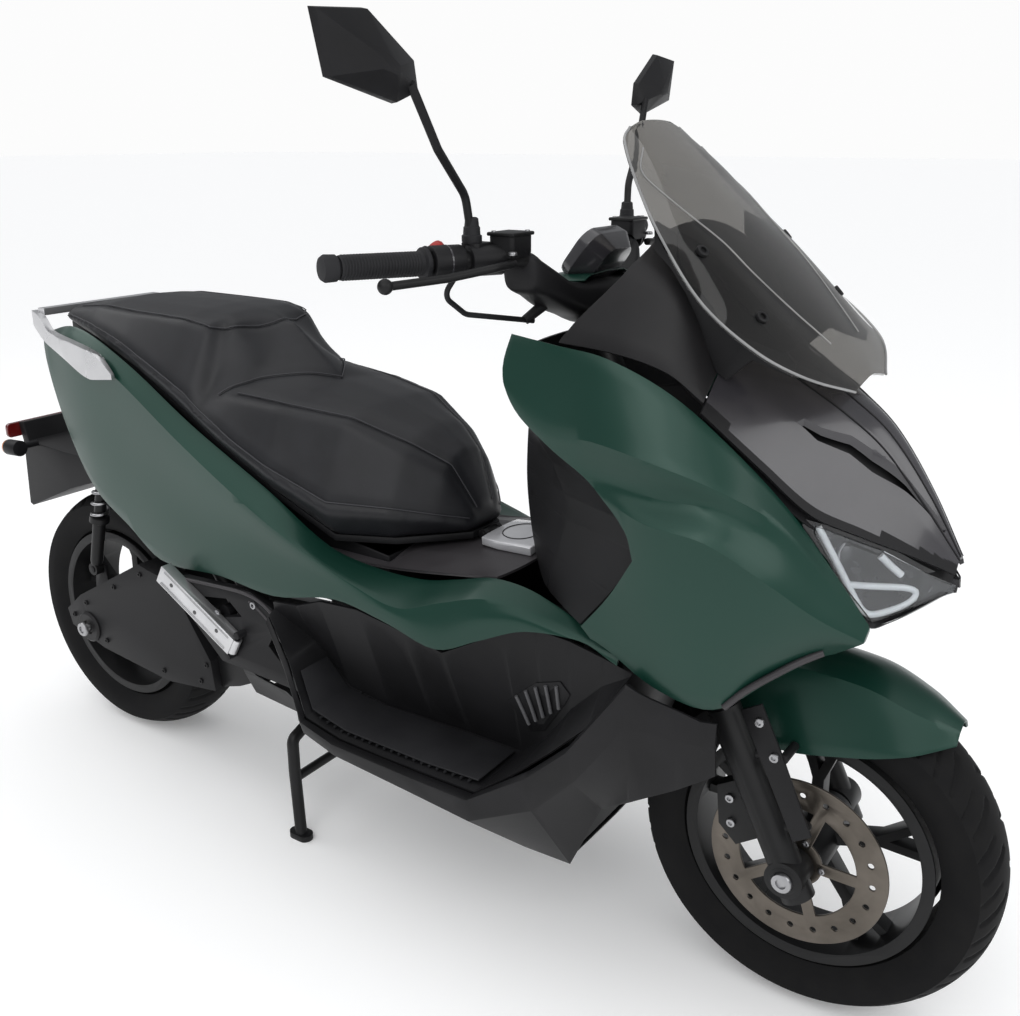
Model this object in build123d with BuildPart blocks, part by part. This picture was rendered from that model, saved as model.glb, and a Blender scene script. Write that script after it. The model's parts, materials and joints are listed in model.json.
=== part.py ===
"""Electric maxi-scooter: step-through frame, moulded body, hub-and-belt rear drive.

Millimetres. Origin on the ground midway between the axles. +X forward, +Y left, +Z up.
Body profiles are drawn for the right side as (half width, height) pairs and mirrored.
"""
import os
from math import cos, radians, sin, sqrt, tan

from build123d import *

os.makedirs("parts", exist_ok=True)

# ------------------------------------------------------------------ driving dimensions
wheelbase = 1375
front_axle_x = wheelbase / 2
rear_axle_x = -wheelbase / 2

front_tyre_r = 242
front_tyre_w = 110
rear_tyre_r = 243
rear_tyre_w = 127
crown_drop = 38
rim_r = 160
rim_wall = 9
flange_r = 167
flange_w = 4
spoke_count = 5
spoke_w = 13
axle_r = 7.5

caster = 26.5
fork_offset = 27.5
fork_half_track = 100
slider_r = 22
slider_up = 232
slider_down = 34
stanchion_r = 16.5
yoke_up = 336
yoke_t = 24
stem_r = 16
head_tube_wall = 7
head_tube_length = 170

disc_r = 118
disc_inner_r = 78
disc_t = 4
disc_y = 72
rear_disc_r = 105

panel_wall = 4
seam = 0.6
clearance = 0.3
body_gap = 6
tube_r = 13

seat_thickness_base = 10
screen_t = 4
bar_r = 11
grip_r = 14.5
grip_length = 122
mirror_stem_r = 5


def steer_point(up, ahead=0.0, side=0.0):
    """Point on the steering axis, `up` mm above the foot of the fork offset."""
    tilt = radians(caster)
    foot_x = front_axle_x - fork_offset * cos(tilt)
    foot_z = front_tyre_r - fork_offset * sin(tilt)
    along_x, along_z = -sin(tilt) * up, cos(tilt) * up
    return (foot_x + along_x + cos(tilt) * ahead, side, foot_z + along_z + sin(tilt) * ahead)


def steer_x(z):
    """Where the steering axis stands at height z."""
    foot = steer_point(0)
    return foot[0] - (z - foot[2]) * tan(radians(caster))


steer_dir = (-sin(radians(caster)), 0, cos(radians(caster)))


def steer_plane(up, ahead=0.0, side=0.0):
    """Plane square to the steering axis; its x runs to the left, its y to the rear."""
    return Plane(origin=steer_point(up, ahead, side), x_dir=(0, 1, 0), z_dir=steer_dir)


def wheel_plane(x, z, y=0.0):
    """Upright plane through an axle: local x runs to the left, local y up."""
    return Plane(origin=(x, y, z), x_dir=(0, 1, 0), z_dir=(1, 0, 0))


def side_plane(x, z, y=0.0):
    """Plane of a wheel seen from the right: local x forward, local y up, normal to the right."""
    return Plane(origin=(x, y, z), x_dir=(1, 0, 0), z_dir=(0, -1, 0))


def save(piece, name):
    """Label a finished piece and write its STEP file."""
    piece.part.label = name
    export_step(piece.part, f"parts/{name}.step")


def parallel(line, wall):
    """Open line moved `wall` to the right of its run, with mitred corners."""
    normals = []
    for (x0, y0), (x1, y1) in zip(line, line[1:]):
        length = sqrt((x1 - x0) ** 2 + (y1 - y0) ** 2)
        normals.append(((y1 - y0) / length, (x0 - x1) / length))
    moved = []
    for (x, y), (ax, ay), (bx, by) in zip(line, normals[:1] + normals, normals + normals[-1:]):
        share = wall / (1 + ax * bx + ay * by)
        moved.append((x + (ax + bx) * share, y + (ay + by) * share))
    return moved


def eased(stations, steps=2):
    """Stations with more of them between, on smooth curves through the ones given."""
    filled = []
    ends = stations[:1] + stations + stations[-1:]
    for (xa, a), (xb, b), (xc, c), (xd, d) in zip(ends, ends[1:], ends[2:], ends[3:]):
        for step in range(steps):
            t = step / steps
            edge = []
            for pa, pb, pc, pd in zip(a, b, c, d):
                point = []
                for va, vb, vc, vd in zip(pa, pb, pc, pd):
                    leave = (vc - va) * (xc - xb) / (xc - xa)
                    arrive = (vd - vb) * (xc - xb) / (xd - xb)
                    bend = 3 * (vc - vb) - 2 * leave - arrive
                    point.append(vb + t * (leave + t * (bend + t * (leave + arrive - 2 * (vc - vb)))))
                edge.append(tuple(point))
            filled.append((xb + (xc - xb) * t, edge))
    return filled + stations[-1:]


def skin(profiles, wall=panel_wall):
    """Moulded skin of even wall, lofted through (plane, open line) pairs, with the wall on the line's right."""
    sections = []
    for plane, line in profiles:
        with BuildSketch(plane) as section:
            with BuildLine():
                Polyline(*line, *reversed(parallel(line, wall)), close=True)
            make_face()
        sections.append(section.sketch)
    loft(sections, ruled=True)


def right_strip(stations, wall=panel_wall):
    """Skin of the right side through edges given as half widths and heights from the top down."""
    skin([(Plane.YZ.offset(x), [(-y, z) for y, z in edge]) for x, edge in stations], -wall)


def arched_strip(stations, wall=panel_wall):
    """Skin across both sides through half edges given from the middle out."""
    skin([
        (Plane.YZ.offset(x), [(-y, z) for y, z in reversed(edge)] + [(y, z) for y, z in edge if y > 0])
        for x, edge in stations
    ], wall)


def trim_side(outline, reach=600):
    """Keep only what lies inside a side-view outline."""
    with BuildSketch(Plane.XZ) as kept:
        with BuildLine():
            Polyline(*outline, close=True)
        make_face()
    extrude(kept.sketch, amount=reach, both=True, mode=Mode.INTERSECT)


def plate(outline, y_inner, y_outer, mode=Mode.ADD):
    """Flat plate with a side-view outline between two distances to the right."""
    with BuildSketch(Plane.XZ.offset(y_inner)) as face:
        with BuildLine():
            Polyline(*outline, close=True)
        make_face()
    extrude(face.sketch, amount=y_outer - y_inner, mode=mode)


def rod(start, end, radius, mode=Mode.ADD):
    """Round bar between two points."""
    line = Vector(*end) - Vector(*start)
    with BuildSketch(Plane(origin=start, z_dir=line)) as end_face:
        Circle(radius)
    extrude(end_face.sketch, amount=line.length, mode=mode)


def bent_tube(points, radius, bend, mode=Mode.ADD):
    """Round tube along straight runs joined by tangent arcs."""
    with BuildLine() as path:
        FilletPolyline(*points, radius=bend)
    with BuildSketch(Plane(origin=points[0], z_dir=Vector(*points[1]) - Vector(*points[0]))) as end_face:
        Circle(radius)
    sweep(end_face.sketch, path=path.wires()[0], mode=mode)


# ------------------------------------------------------------------ wheels
def tyre_profile(radius, width):
    """Closed section of a tyre on its rim, drawn left and up from the axle."""
    half = width / 2
    shoulder = radius - crown_drop
    bead = half - 12
    with BuildLine() as section:
        ThreePointArc((-half, shoulder), (0, radius), (half, shoulder))
        Polyline(
            (half, shoulder), (bead, flange_r + 1), (bead, rim_r + clearance),
            (-bead, rim_r + clearance), (-bead, flange_r + 1), (-half, shoulder),
        )
    make_face(section.edges())


def rim_profile(width, hub_right, hub_left, hub_r):
    """Barrel with its two flanges, and the hub about the axle bore."""
    bead = width / 2 - 12
    lip = bead + clearance + flange_w
    bore = axle_r + clearance
    with BuildLine() as barrel:
        Polyline(
            (-lip, rim_r - rim_wall), (lip, rim_r - rim_wall), (lip, flange_r),
            (lip - flange_w, flange_r), (lip - flange_w, rim_r), (flange_w - lip, rim_r),
            (flange_w - lip, flange_r), (-lip, flange_r), close=True,
        )
    make_face(barrel.edges())
    with BuildLine() as hub:
        Polyline((-hub_right, bore), (hub_left, bore), (hub_left, hub_r), (-hub_right, hub_r), close=True)
    make_face(hub.edges())


def y_spokes(plane, hub_r, thick):
    """Five spokes that fork into a Y on their way to the barrel."""
    fork_at = hub_r + (rim_r - hub_r) * 0.45
    spread = spoke_w * 1.9
    tip = rim_r - rim_wall / 2
    half = spoke_w / 2
    with BuildSketch() as spokes:
        with BuildLine():
            Polyline(
                (hub_r - 4, -half * 1.4), (fork_at, -half * 1.2), (tip, -spread - half),
                (tip, half - spread), (fork_at + spoke_w, 0), (tip, spread - half),
                (tip, spread + half), (fork_at, half * 1.2), (hub_r - 4, half * 1.4), close=True,
            )
        make_face()
    with BuildSketch(plane) as star:
        with PolarLocations(0, spoke_count, start_angle=90):
            add(spokes.sketch)
    extrude(star.sketch, amount=thick / 2, both=True)


def brake_disc(plane, outer_r, inner_r, hub_r, thick, holes, hole_r):
    """Drilled disc on a five-armed carrier."""
    with BuildSketch(plane) as face:
        Circle(outer_r)
        Circle(inner_r, mode=Mode.SUBTRACT)
        Circle(hub_r)
        with PolarLocations((inner_r + hub_r) / 2, spoke_count):
            Rectangle(inner_r - hub_r + 8, 16)
        Circle(axle_r + 9, mode=Mode.SUBTRACT)
        with PolarLocations((outer_r + inner_r) / 2, holes):
            Circle(hole_r, mode=Mode.SUBTRACT)
    extrude(face.sketch, amount=thick)


front_hub_right = disc_y - disc_t / 2
front_hub_left = 60
front_hub_r = 34
rear_hub_left = 66
rear_hub_right = 66
rear_hub_r = 62

with BuildPart() as front_tyre:
    with BuildSketch(wheel_plane(front_axle_x, front_tyre_r)):
        tyre_profile(front_tyre_r, front_tyre_w)
    revolve(axis=Axis((front_axle_x, 0, front_tyre_r), (0, 1, 0)))
save(front_tyre, "front_tyre")

with BuildPart() as front_rim:
    with BuildSketch(wheel_plane(front_axle_x, front_tyre_r)):
        rim_profile(front_tyre_w, front_hub_right, front_hub_left, front_hub_r)
    revolve(axis=Axis((front_axle_x, 0, front_tyre_r), (0, 1, 0)))
    y_spokes(side_plane(front_axle_x, front_tyre_r), front_hub_r, 26)
save(front_rim, "front_rim")

with BuildPart() as front_disc:
    brake_disc(
        side_plane(front_axle_x, front_tyre_r, -front_hub_right),
        disc_r, disc_inner_r, front_hub_r, disc_t, 20, 4,
    )
save(front_disc, "front_disc")

with BuildPart() as rear_tyre:
    with BuildSketch(wheel_plane(rear_axle_x, rear_tyre_r)):
        tyre_profile(rear_tyre_r, rear_tyre_w)
    revolve(axis=Axis((rear_axle_x, 0, rear_tyre_r), (0, 1, 0)))
save(rear_tyre, "rear_tyre")

with BuildPart() as rear_rim:
    with BuildSketch(wheel_plane(rear_axle_x, rear_tyre_r)):
        rim_profile(rear_tyre_w, rear_hub_right, rear_hub_left, rear_hub_r)
    revolve(axis=Axis((rear_axle_x, 0, rear_tyre_r), (0, 1, 0)))
    y_spokes(side_plane(rear_axle_x, rear_tyre_r), rear_hub_r, 26)
save(rear_rim, "rear_rim")

with BuildPart() as rear_disc:
    brake_disc(
        side_plane(rear_axle_x, rear_tyre_r, rear_hub_left + disc_t),
        rear_disc_r, 74, 44, disc_t, 16, 4,
    )
save(rear_disc, "rear_disc")

with BuildPart() as rear_calliper:
    plate([(-620, 268), (-598, 268), (-586, 318), (-606, 352), (-640, 356), (-654, 330)], -95.7, -62)
    with BuildSketch(side_plane(rear_axle_x, rear_tyre_r, rear_hub_left + disc_t + 1)):
        Circle(rear_disc_r + 3)
    extrude(amount=disc_t + 2, mode=Mode.SUBTRACT)
save(rear_calliper, "rear_calliper")

# ------------------------------------------------------------------ fork and steering
bar_z = 930
spacer_r = 13
leg_inner = fork_half_track - slider_r

with BuildPart() as front_axle:
    rod((front_axle_x, -fork_half_track - slider_r - 6, front_tyre_r),
        (front_axle_x, fork_half_track + slider_r + 6, front_tyre_r), axle_r)
    rod((front_axle_x, -leg_inner + clearance, front_tyre_r),
        (front_axle_x, -front_hub_right - disc_t - 1, front_tyre_r), spacer_r)
    rod((front_axle_x, leg_inner - clearance, front_tyre_r),
        (front_axle_x, front_hub_left + clearance, front_tyre_r), spacer_r)
save(front_axle, "front_axle")

stay_bolts = [(656, 408), (704, 318)]
with BuildPart() as fork_legs:
    for side in (-fork_half_track, fork_half_track):
        foot = steer_point(-slider_down, fork_offset, side)
        lip = steer_point(slider_up, fork_offset, side)
        top = steer_point(yoke_up + yoke_t + 8, fork_offset, side)
        rod(foot, lip, slider_r)
        rod(lip, top, stanchion_r)
        boss = 17
        rod((front_axle_x, side - slider_r, front_tyre_r),
            (front_axle_x, side + slider_r, front_tyre_r), boss + 8)
        for bolt_x, bolt_z in stay_bolts:
            leg_x = front_axle_x - (bolt_z - 20 - front_tyre_r) * tan(radians(caster))
            rod((leg_x, side, bolt_z - 20), (bolt_x, side, bolt_z), 7)
            outward = 13.7 if side > 0 else -13.7
            rod((bolt_x, side, bolt_z), (bolt_x, side + outward, bolt_z), 7)
    rod((front_axle_x, -200, front_tyre_r), (front_axle_x, 200, front_tyre_r),
        axle_r + clearance, mode=Mode.SUBTRACT)
save(fork_legs, "fork_legs")

with BuildPart() as fork_yoke:
    with BuildSketch(steer_plane(yoke_up)):
        with Locations((0, -fork_offset)):
            SlotCenterToCenter(2 * fork_half_track, 2 * stanchion_r + 18)
        Circle(stem_r + 16)
        with Locations((0, -fork_offset)):
            with Locations((-fork_half_track, 0), (fork_half_track, 0)):
                Circle(stanchion_r + clearance, mode=Mode.SUBTRACT)
    extrude(amount=yoke_t)
    stem_top = (bar_z - steer_point(0)[2]) / cos(radians(caster))
    rod(steer_point(yoke_up), steer_point(stem_top), stem_r)
save(fork_yoke, "fork_yoke")

fender_r = 273


def over_tyre(x, radius=fender_r):
    """Height of a circle about the front axle at station x."""
    return front_tyre_r + sqrt(radius ** 2 - (x - front_axle_x) ** 2)


fender_half_w = 75
with BuildPart() as front_fender:
    arched_strip(eased([
        (552, [(0, over_tyre(552)), (46, over_tyre(552) - 12), (fender_half_w - 4, 425)]),
        (640, [(0, over_tyre(640)), (48, over_tyre(640) - 12), (fender_half_w, 396)]),
        (740, [(0, over_tyre(740)), (47, over_tyre(740) - 12), (fender_half_w - 2, 412)]),
        (805, [(0, over_tyre(805)), (40, over_tyre(805) - 12), (fender_half_w - 12, 430)]),
        (852, [(0, over_tyre(852) + 2), (18, over_tyre(852) - 3), (30, 444)]),
    ], steps=3))
save(front_fender, "front_fender")

stay_t = 4
with BuildPart() as fender_stays:
    stay_y = fork_half_track + 14
    plate([(614, 460), (640, 476), (668, 420), (716, 315), (694, 300), (650, 390)], stay_y, stay_y + stay_t)
    rod((672, -stay_y - 1, 408), (672, -74.6, 408), 6)
    mirror(about=Plane.XZ)
save(fender_stays, "fender_stays")

with BuildPart() as front_calliper:
    caliper = [(574, 318), (628, 352), (646, 318), (624, 304), (640, 262), (606, 238), (580, 262)]
    plate(caliper, disc_y - 18, leg_inner - clearance)
    with BuildSketch(side_plane(front_axle_x, front_tyre_r, -disc_y + 5)):
        Circle(disc_r + 3)
    extrude(amount=10, mode=Mode.SUBTRACT)
save(front_calliper, "front_calliper")

# ------------------------------------------------------------------ handlebar
bar_x = steer_x(bar_z)
grip_in = (bar_x - 52, 224, 992)
grip_out = (bar_x - 118, 372, 994)


def along_grip(share, side):
    """Point on the grip's axis, 0 at its inner end and 1 at its outer end."""
    return tuple(
        near + (far - near) * share
        for near, far in zip(
            (grip_in[0], side * grip_in[1], grip_in[2]), (grip_out[0], side * grip_out[1], grip_out[2]),
        )
    )


def bar_route(side):
    """Corners of one half of the bar, from the stem clamp to the tip."""
    return [(bar_x, 0, bar_z + 2), (bar_x - 4, side * 90, bar_z + 6), along_grip(-0.7, side), along_grip(0.98, side)]


bar_bend = 44
with BuildPart() as handlebar:
    for side in (-1, 1):
        bent_tube(bar_route(side), bar_r, bar_bend)
    rod(steer_point(stem_top - 24), steer_point(stem_top + 6), stem_r + 9)
    rod(steer_point(stem_top - 90), steer_point(stem_top), stem_r + clearance, mode=Mode.SUBTRACT)
save(handlebar, "handlebar")

with BuildPart() as grips:
    for side in (-1, 1):
        rod(along_grip(0.22, side), along_grip(0.9, side), grip_r)
        rod(along_grip(0.91, side), along_grip(1.03, side), grip_r + 1)
        rod(along_grip(0.22, side), along_grip(0.26, side), grip_r + 4)
        rod(along_grip(0.1, side), along_grip(1, side), bar_r + clearance, mode=Mode.SUBTRACT)
save(grips, "grips")

with BuildPart() as switch_housings:
    for side in (-1, 1):
        rod(along_grip(-0.06, side), along_grip(0.19, side), 20)
        rod(along_grip(-0.4, side), along_grip(1, side), bar_r + clearance, mode=Mode.SUBTRACT)
save(switch_housings, "switch_housings")

reservoir_x = bar_x - 30
with BuildPart() as master_cylinders:
    for side in (-1, 1):
        with BuildSketch(Plane(origin=(reservoir_x + 10, side * 150, 994))) as foot:
            RectangleRounded(36, 44, 6)
        extrude(foot.sketch, amount=25)
        rod(along_grip(-0.4, side), along_grip(-0.12, side), 18)
        with BuildSketch(Plane(origin=(bar_x - 44, side * 186, 996))) as arm:
            RectangleRounded(26, 36, 6)
        extrude(arm.sketch, amount=16)
        rod(along_grip(-0.7, side), along_grip(1, side), bar_r + clearance, mode=Mode.SUBTRACT)
save(master_cylinders, "master_cylinders")

with BuildPart() as brake_levers:
    for side in (-1, 1):
        bent_tube([
            (reservoir_x + 30, side * 172, 988.7), (reservoir_x + 26, side * 206, 986),
            (reservoir_x - 2, side * 262, 978), (reservoir_x - 33, side * 332, 974),
        ], 5, 26)
        with Locations((reservoir_x - 34, side * 334, 974)):
            Sphere(9)
save(brake_levers, "brake_levers")

def spanwise(stations, shrink=0.0, mode=Mode.ADD):
    """Solid lofted from side to side through side-view profiles."""
    sections = []
    for y, profile in stations:
        with BuildSketch(Plane.XZ.offset(y)) as section:
            with BuildLine():
                Polyline(*profile, close=True)
            make_face()
            if shrink:
                offset(amount=-shrink, kind=Kind.INTERSECTION, mode=Mode.REPLACE)
        sections.append(section.sketch)
    loft(sections, ruled=True, mode=mode)


pod_dir = (-0.8, 0, 0.6)
with BuildPart() as display:
    with BuildSketch(Plane(origin=(bar_x + 4, 0, 994), x_dir=(0, 1, 0), z_dir=pod_dir)) as face:
        RectangleRounded(98, 70, 22)
    with BuildSketch(Plane(origin=(bar_x + 16, 0, 985), x_dir=(0, 1, 0), z_dir=pod_dir)) as belt:
        RectangleRounded(104, 76, 24)
    with BuildSketch(Plane(origin=(bar_x + 38, 0, 976), x_dir=(0, 1, 0), z_dir=pod_dir)) as back:
        RectangleRounded(70, 50, 20)
    loft([face.sketch, belt.sketch, back.sketch], ruled=True)
    with BuildSketch(Plane(origin=(bar_x + 4, 0, 994), x_dir=(0, 1, 0), z_dir=pod_dir)) as screen:
        RectangleRounded(86, 56, 14)
    extrude(screen.sketch, amount=-4, mode=Mode.SUBTRACT)
save(display, "display")

cover_end = [(bar_x - 44, 990), (bar_x + 6, 994), (bar_x + 10, 952), (bar_x - 38, 948)]
cover_side = [(bar_x - 46, 952), (bar_x + 34, 956), (bar_x + 38, 922), (bar_x - 36, 917)]
cover_mid = [(bar_x - 44, 954), (bar_x + 42, 962), (bar_x + 52, 900), (bar_x - 32, 893)]
cover_wall = 3
cover_stations = [(-132, cover_end), (-75, cover_side), (0, cover_mid), (75, cover_side), (132, cover_end)]
with BuildPart() as handlebar_cover:
    spanwise(cover_stations)
    spanwise(cover_stations, shrink=cover_wall, mode=Mode.SUBTRACT)
    for side in (-1, 1):
        bent_tube(bar_route(side), bar_r + 3, bar_bend, mode=Mode.SUBTRACT)
    rod(steer_point(stem_top - 80), steer_point(stem_top), stem_r + 14, mode=Mode.SUBTRACT)
    add(display.part, mode=Mode.SUBTRACT)
save(handlebar_cover, "handlebar_cover")

with BuildPart() as handlebar_top_cover:
    arched_strip([
        (bar_x - 42, [(0, 959), (44, 957.6), (66, 954.6)]),
        (bar_x - 4, [(0, 967), (50, 964), (68, 957)]),
        (bar_x + 32, [(0, 967.6), (44, 966), (60, 960)]),
    ], wall=0.4 * panel_wall)
    add(display.part, mode=Mode.SUBTRACT)
save(handlebar_top_cover, "handlebar_top_cover")

mirror_face = [(-421, 1247), (-345, 1252), (-272, 1207), (-266, 1176), (-303, 1164), (-405, 1186)]
mirror_shift = -34
mirror_x = bar_x - 44
mirror_ridge = (-331, 1197)
left_stem_turn = 25
left_head_turn = -20
stem_foot = (bar_x - 46, 194, 1012.3)
stem_end = (mirror_x + 14, 322, 1184)


def mirror_outline(share=0.0):
    """Outline of the right mirror, drawn in towards its ridge point by a share of the way."""
    return [
        (y + (mirror_ridge[0] - y) * share + mirror_shift, z + (mirror_ridge[1] - z) * share)
        for y, z in mirror_face
    ]


def left_copy(right, head_turn=0):
    """The left-hand twin of a mirror piece, its head and then its stem turned to suit the rider."""
    head_axis = Axis((stem_end[0], stem_end[1], 0), (0, 0, 1))
    foot_axis = Axis((stem_foot[0], stem_foot[1], 0), (0, 0, 1))
    return right.part.mirror(Plane.XZ).rotate(head_axis, head_turn).rotate(foot_axis, left_stem_turn)


with BuildPart() as right_head:
    with BuildSketch(Plane.YZ.offset(mirror_x)) as rim:
        Polygon(*mirror_outline(), align=None)
    with BuildSketch(Plane.YZ.offset(mirror_x + 8)) as belt:
        Polygon(*mirror_outline(0.03), align=None)
    with BuildSketch(Plane.YZ.offset(mirror_x + 27)) as back:
        Polygon(*mirror_outline(0.8), align=None)
    loft([rim.sketch, belt.sketch, back.sketch], ruled=True)
    with BuildSketch(Plane.YZ.offset(mirror_x)) as glass_seat:
        Polygon(*mirror_outline(), align=None)
        offset(amount=-5, kind=Kind.INTERSECTION, mode=Mode.REPLACE)
    extrude(glass_seat.sketch, amount=4, mode=Mode.SUBTRACT)

with BuildPart() as right_stem:
    bent_tube([
        (stem_foot[0], -stem_foot[1], stem_foot[2] + 4), (stem_foot[0], -206, 1066),
        (mirror_x + 8, -270, 1118), (stem_end[0], -stem_end[1], stem_end[2]),
    ], mirror_stem_r, 30)
    with Locations((stem_foot[0], -stem_foot[1], stem_foot[2] + 8)):
        Cylinder(10, 16)

with BuildPart() as mirrors:
    add(right_head.part)
    add(right_stem.part)
    add(left_copy(right_head, left_head_turn))
    add(left_copy(right_stem))
save(mirrors, "mirrors")

with BuildPart() as right_glass:
    with BuildSketch(Plane.YZ.offset(mirror_x + 0.5)) as pane:
        Polygon(*mirror_outline(), align=None)
        offset(amount=-5.5, kind=Kind.INTERSECTION, mode=Mode.REPLACE)
    extrude(pane.sketch, amount=3)

with BuildPart() as mirror_glasses:
    add(right_glass.part)
    add(left_copy(right_glass, left_head_turn))
save(mirror_glasses, "mirror_glasses")

with BuildPart() as brake_hose:
    bent_tube([(252, -200, 978), (233, -206, 948), (240, -170, 922), (290, -90, 908)], 3.5, 18)
save(brake_hose, "brake_hose")

# ------------------------------------------------------------------ places shared by body, frame and stands
stand_pivot = (-156, 190)
side_pivot = (96, 116, 166)

# ------------------------------------------------------------------ body panels
front_side = [
    # station, half width and height down the side: rim, shoulder, hollow, crest, flank, lower rim
    (300, [(168, 905), (190, 858), (194, 800), (197, 740), (196, 640), (192, 560)]),
    (380, [(182, 899), (207, 800), (203, 764), (205, 716), (202, 630), (196, 550)]),
    (450, [(188, 892), (219, 801), (206, 757), (210, 733), (206, 630), (196, 541)]),
    (530, [(180, 858), (226, 790), (213, 746), (233, 720), (214, 600), (188, 496)]),
    (600, [(162, 801), (210, 768), (206, 742), (231, 712), (206, 590), (174, 482)]),
    (660, [(138, 736), (166, 725), (176, 704), (204, 672), (182, 590), (146, 526)]),
    (710, [(115, 665), (128, 656), (140, 642), (158, 622), (146, 592), (122, 561)]),
    (756, [(97, 596), (101, 592), (106, 588), (110, 584), (108, 580), (104, 576)]),
]
front_outline = [
    (306, 865), (330, 819), (380, 785), (450, 742), (499, 703), (510, 669), (472, 610), (430, 557),
    (455, 533), (530, 494), (588, 472), (622, 490), (674, 532), (722, 566), (752, 586), (752, 640), (640, 900), (310, 920),
]
with BuildPart() as front_panels:
    right_strip(eased(front_side))
    trim_side(front_outline)
    mirror(about=Plane.XZ)
save(front_panels, "front_panels")

nose_stations = [
    (562, [(0, 922), (60, 912), (120, 884), (170, 840)]),
    (628, [(0, 884), (56, 868), (100, 836), (150, 781)]),
    (682, [(0, 850), (48, 834), (76, 799), (126, 730)]),
    (730, [(0, 812), (36, 794), (52, 766), (97, 706)]),
    (781, [(0, 744), (22, 728), (34, 715), (58, 680)]),
    (822, [(0, 672), (8, 668), (14, 663), (22, 655)]),
]
nose_slot = [
    # kinked slot seen from above, on the right
    (645, -92), (668, -85), (700, -65), (724, -55), (760, -35), (802, -13),
    (803, -8), (757, -27), (721, -45), (697, -55), (668, -74), (650, -83),
]
with BuildPart() as nose_panel:
    arched_strip(eased(nose_stations), wall=5)
    with BuildSketch(Plane.XY.offset(600)) as slots:
        Polygon(*nose_slot, align=None)
        mirror(about=Plane.XZ)
    extrude(slots.sketch, amount=400, mode=Mode.SUBTRACT)
save(nose_panel, "nose_panel")

cowl_stations = [
    (366, [(0, 1050), (90, 1040), (135, 1004), (175, 902)]),
    (460, [(0, 1036), (90, 1026), (135, 992), (178, 896)]),
    (520, [(0, 1004), (90, 990), (138, 956), (172, 880)]),
    (561, [(0, 928), (90, 907), (130, 878), (163, 850)]),
]
with BuildPart() as dash_cowl:
    arched_strip(eased(cowl_stations), wall=6)
    trim_side([(372, 860), (380, 905), (455, 998), (470, 1060), (620, 1060), (620, 780)])
save(dash_cowl, "dash_cowl")

screen_stations = [
    (412, [(0, 1146), (60, 1141), (98, 1122)]),
    (456, [(0, 1108), (90, 1097), (130, 1072)]),
    (504, [(0, 1064), (106, 1048), (162, 1020)]),
    (561, [(0, 1010), (110, 998), (178, 960)]),
    (625, [(0, 948), (104, 938), (174, 914)]),
    (668, [(0, 906), (80, 899), (140, 886)]),
    (698, [(0, 870), (30, 866), (60, 860)]),
]
with BuildPart() as windshield:
    arched_strip(eased(screen_stations), wall=screen_t)
save(windshield, "windshield")

screen_bracket = [
    # side view of the plate between the cowl and the underside of the screen
    (476, 1040), (504, 1027), (561, 980), (625, 922), (650, 898), (648, 884), (602, 898), (574, 872), (561, 880),
    (520, 963), (500, 990), (478, 1010),
]
with BuildPart() as windshield_bracket:
    plate(screen_bracket, 127, 133)
    for x, z in [(532, 990), (606, 925)]:
        rod((x, -124, z), (x, -136, z), 9)
    add(dash_cowl.part, mode=Mode.SUBTRACT)
    add(windshield.part, mode=Mode.SUBTRACT)
    mirror(about=Plane.XZ)
save(windshield_bracket, "windshield_bracket")

lens_stations = [
    (686, [(122, 717), (124, 709)]),
    (718, [(103, 703), (111, 652)]),
    (753, [(79, 687), (93, 604)]),
    (790, [(50, 662), (61, 621)]),
    (822, [(15, 640), (19, 632)]),
]
with BuildPart() as headlight_lens:
    right_strip(lens_stations, wall=4)
    mirror(about=Plane.XZ)
save(headlight_lens, "headlight_lens")

with BuildPart() as headlight_housing:
    right_strip([
        (680, [(110, 708), (112, 700)]),
        (712, [(92, 697), (99, 662)]),
        (745, [(67, 682), (81, 612)]),
        (782, [(40, 658), (50, 628)]),
        (800, [(26, 648), (36, 634)]),
    ], wall=3)
    mirror(about=Plane.XZ)
save(headlight_housing, "headlight_housing")

shield_stations = [
    # height, half outline (x, half width) from the middle to the side
    (556, [(276, 0), (282, 60), (330, 120), (424, 190)]),
    (610, [(264, 0), (270, 62), (350, 128), (470, 196)]),
    (669, [(258, 0), (264, 64), (370, 136), (507, 199)]),
    (703, [(258, 0), (264, 66), (366, 138), (496, 199)]),
    (742, [(262, 0), (268, 70), (350, 140), (448, 197)]),
    (785, [(268, 0), (274, 76), (320, 144), (378, 196)]),
    (857, [(288, 0), (292, 84), (305, 148), (310, 182)]),
    (888, [(300, 0), (304, 84), (314, 136), (326, 162)]),
]
with BuildPart() as leg_shield:
    skin([
        (Plane.XY.offset(z), [(x, half) for x, half in reversed(edge)] + [(x, -half) for x, half in edge[1:]])
        for z, edge in shield_stations
    ], -panel_wall)
save(leg_shield, "leg_shield")

rear_side = [
    # station, half width and height down the side: rim, bright crease, hollow, lower rim
    (-736, [(103, 800), (112, 796), (116, 760), (114, 700)]),
    (-610, [(131, 823), (146, 806), (142, 640), (131, 500)]),
    (-464, [(151, 783), (170, 757), (158, 600), (148, 440)]),
    (-300, [(163, 702), (187, 675), (172, 545), (172, 430)]),
    (-128, [(171, 625), (200, 595), (190, 535), (196, 440)]),
    (-20, [(161, 557), (204, 555), (202, 528), (204, 470)]),
    (60, [(147, 535), (206, 530), (207, 515), (205, 480)]),
    (140, [(142, 534), (203, 512), (207, 500), (202, 462)]),
    (206, [(144, 550), (186, 530), (199, 486), (197, 446)]),
    (268, [(148, 567), (180, 548), (192, 520), (191, 480)]),
    (340, [(152, 562), (176, 548), (187, 536), (187, 512)]),
    (475, [(176, 524), (180, 520), (184, 512), (186, 500)]),
]
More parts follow.
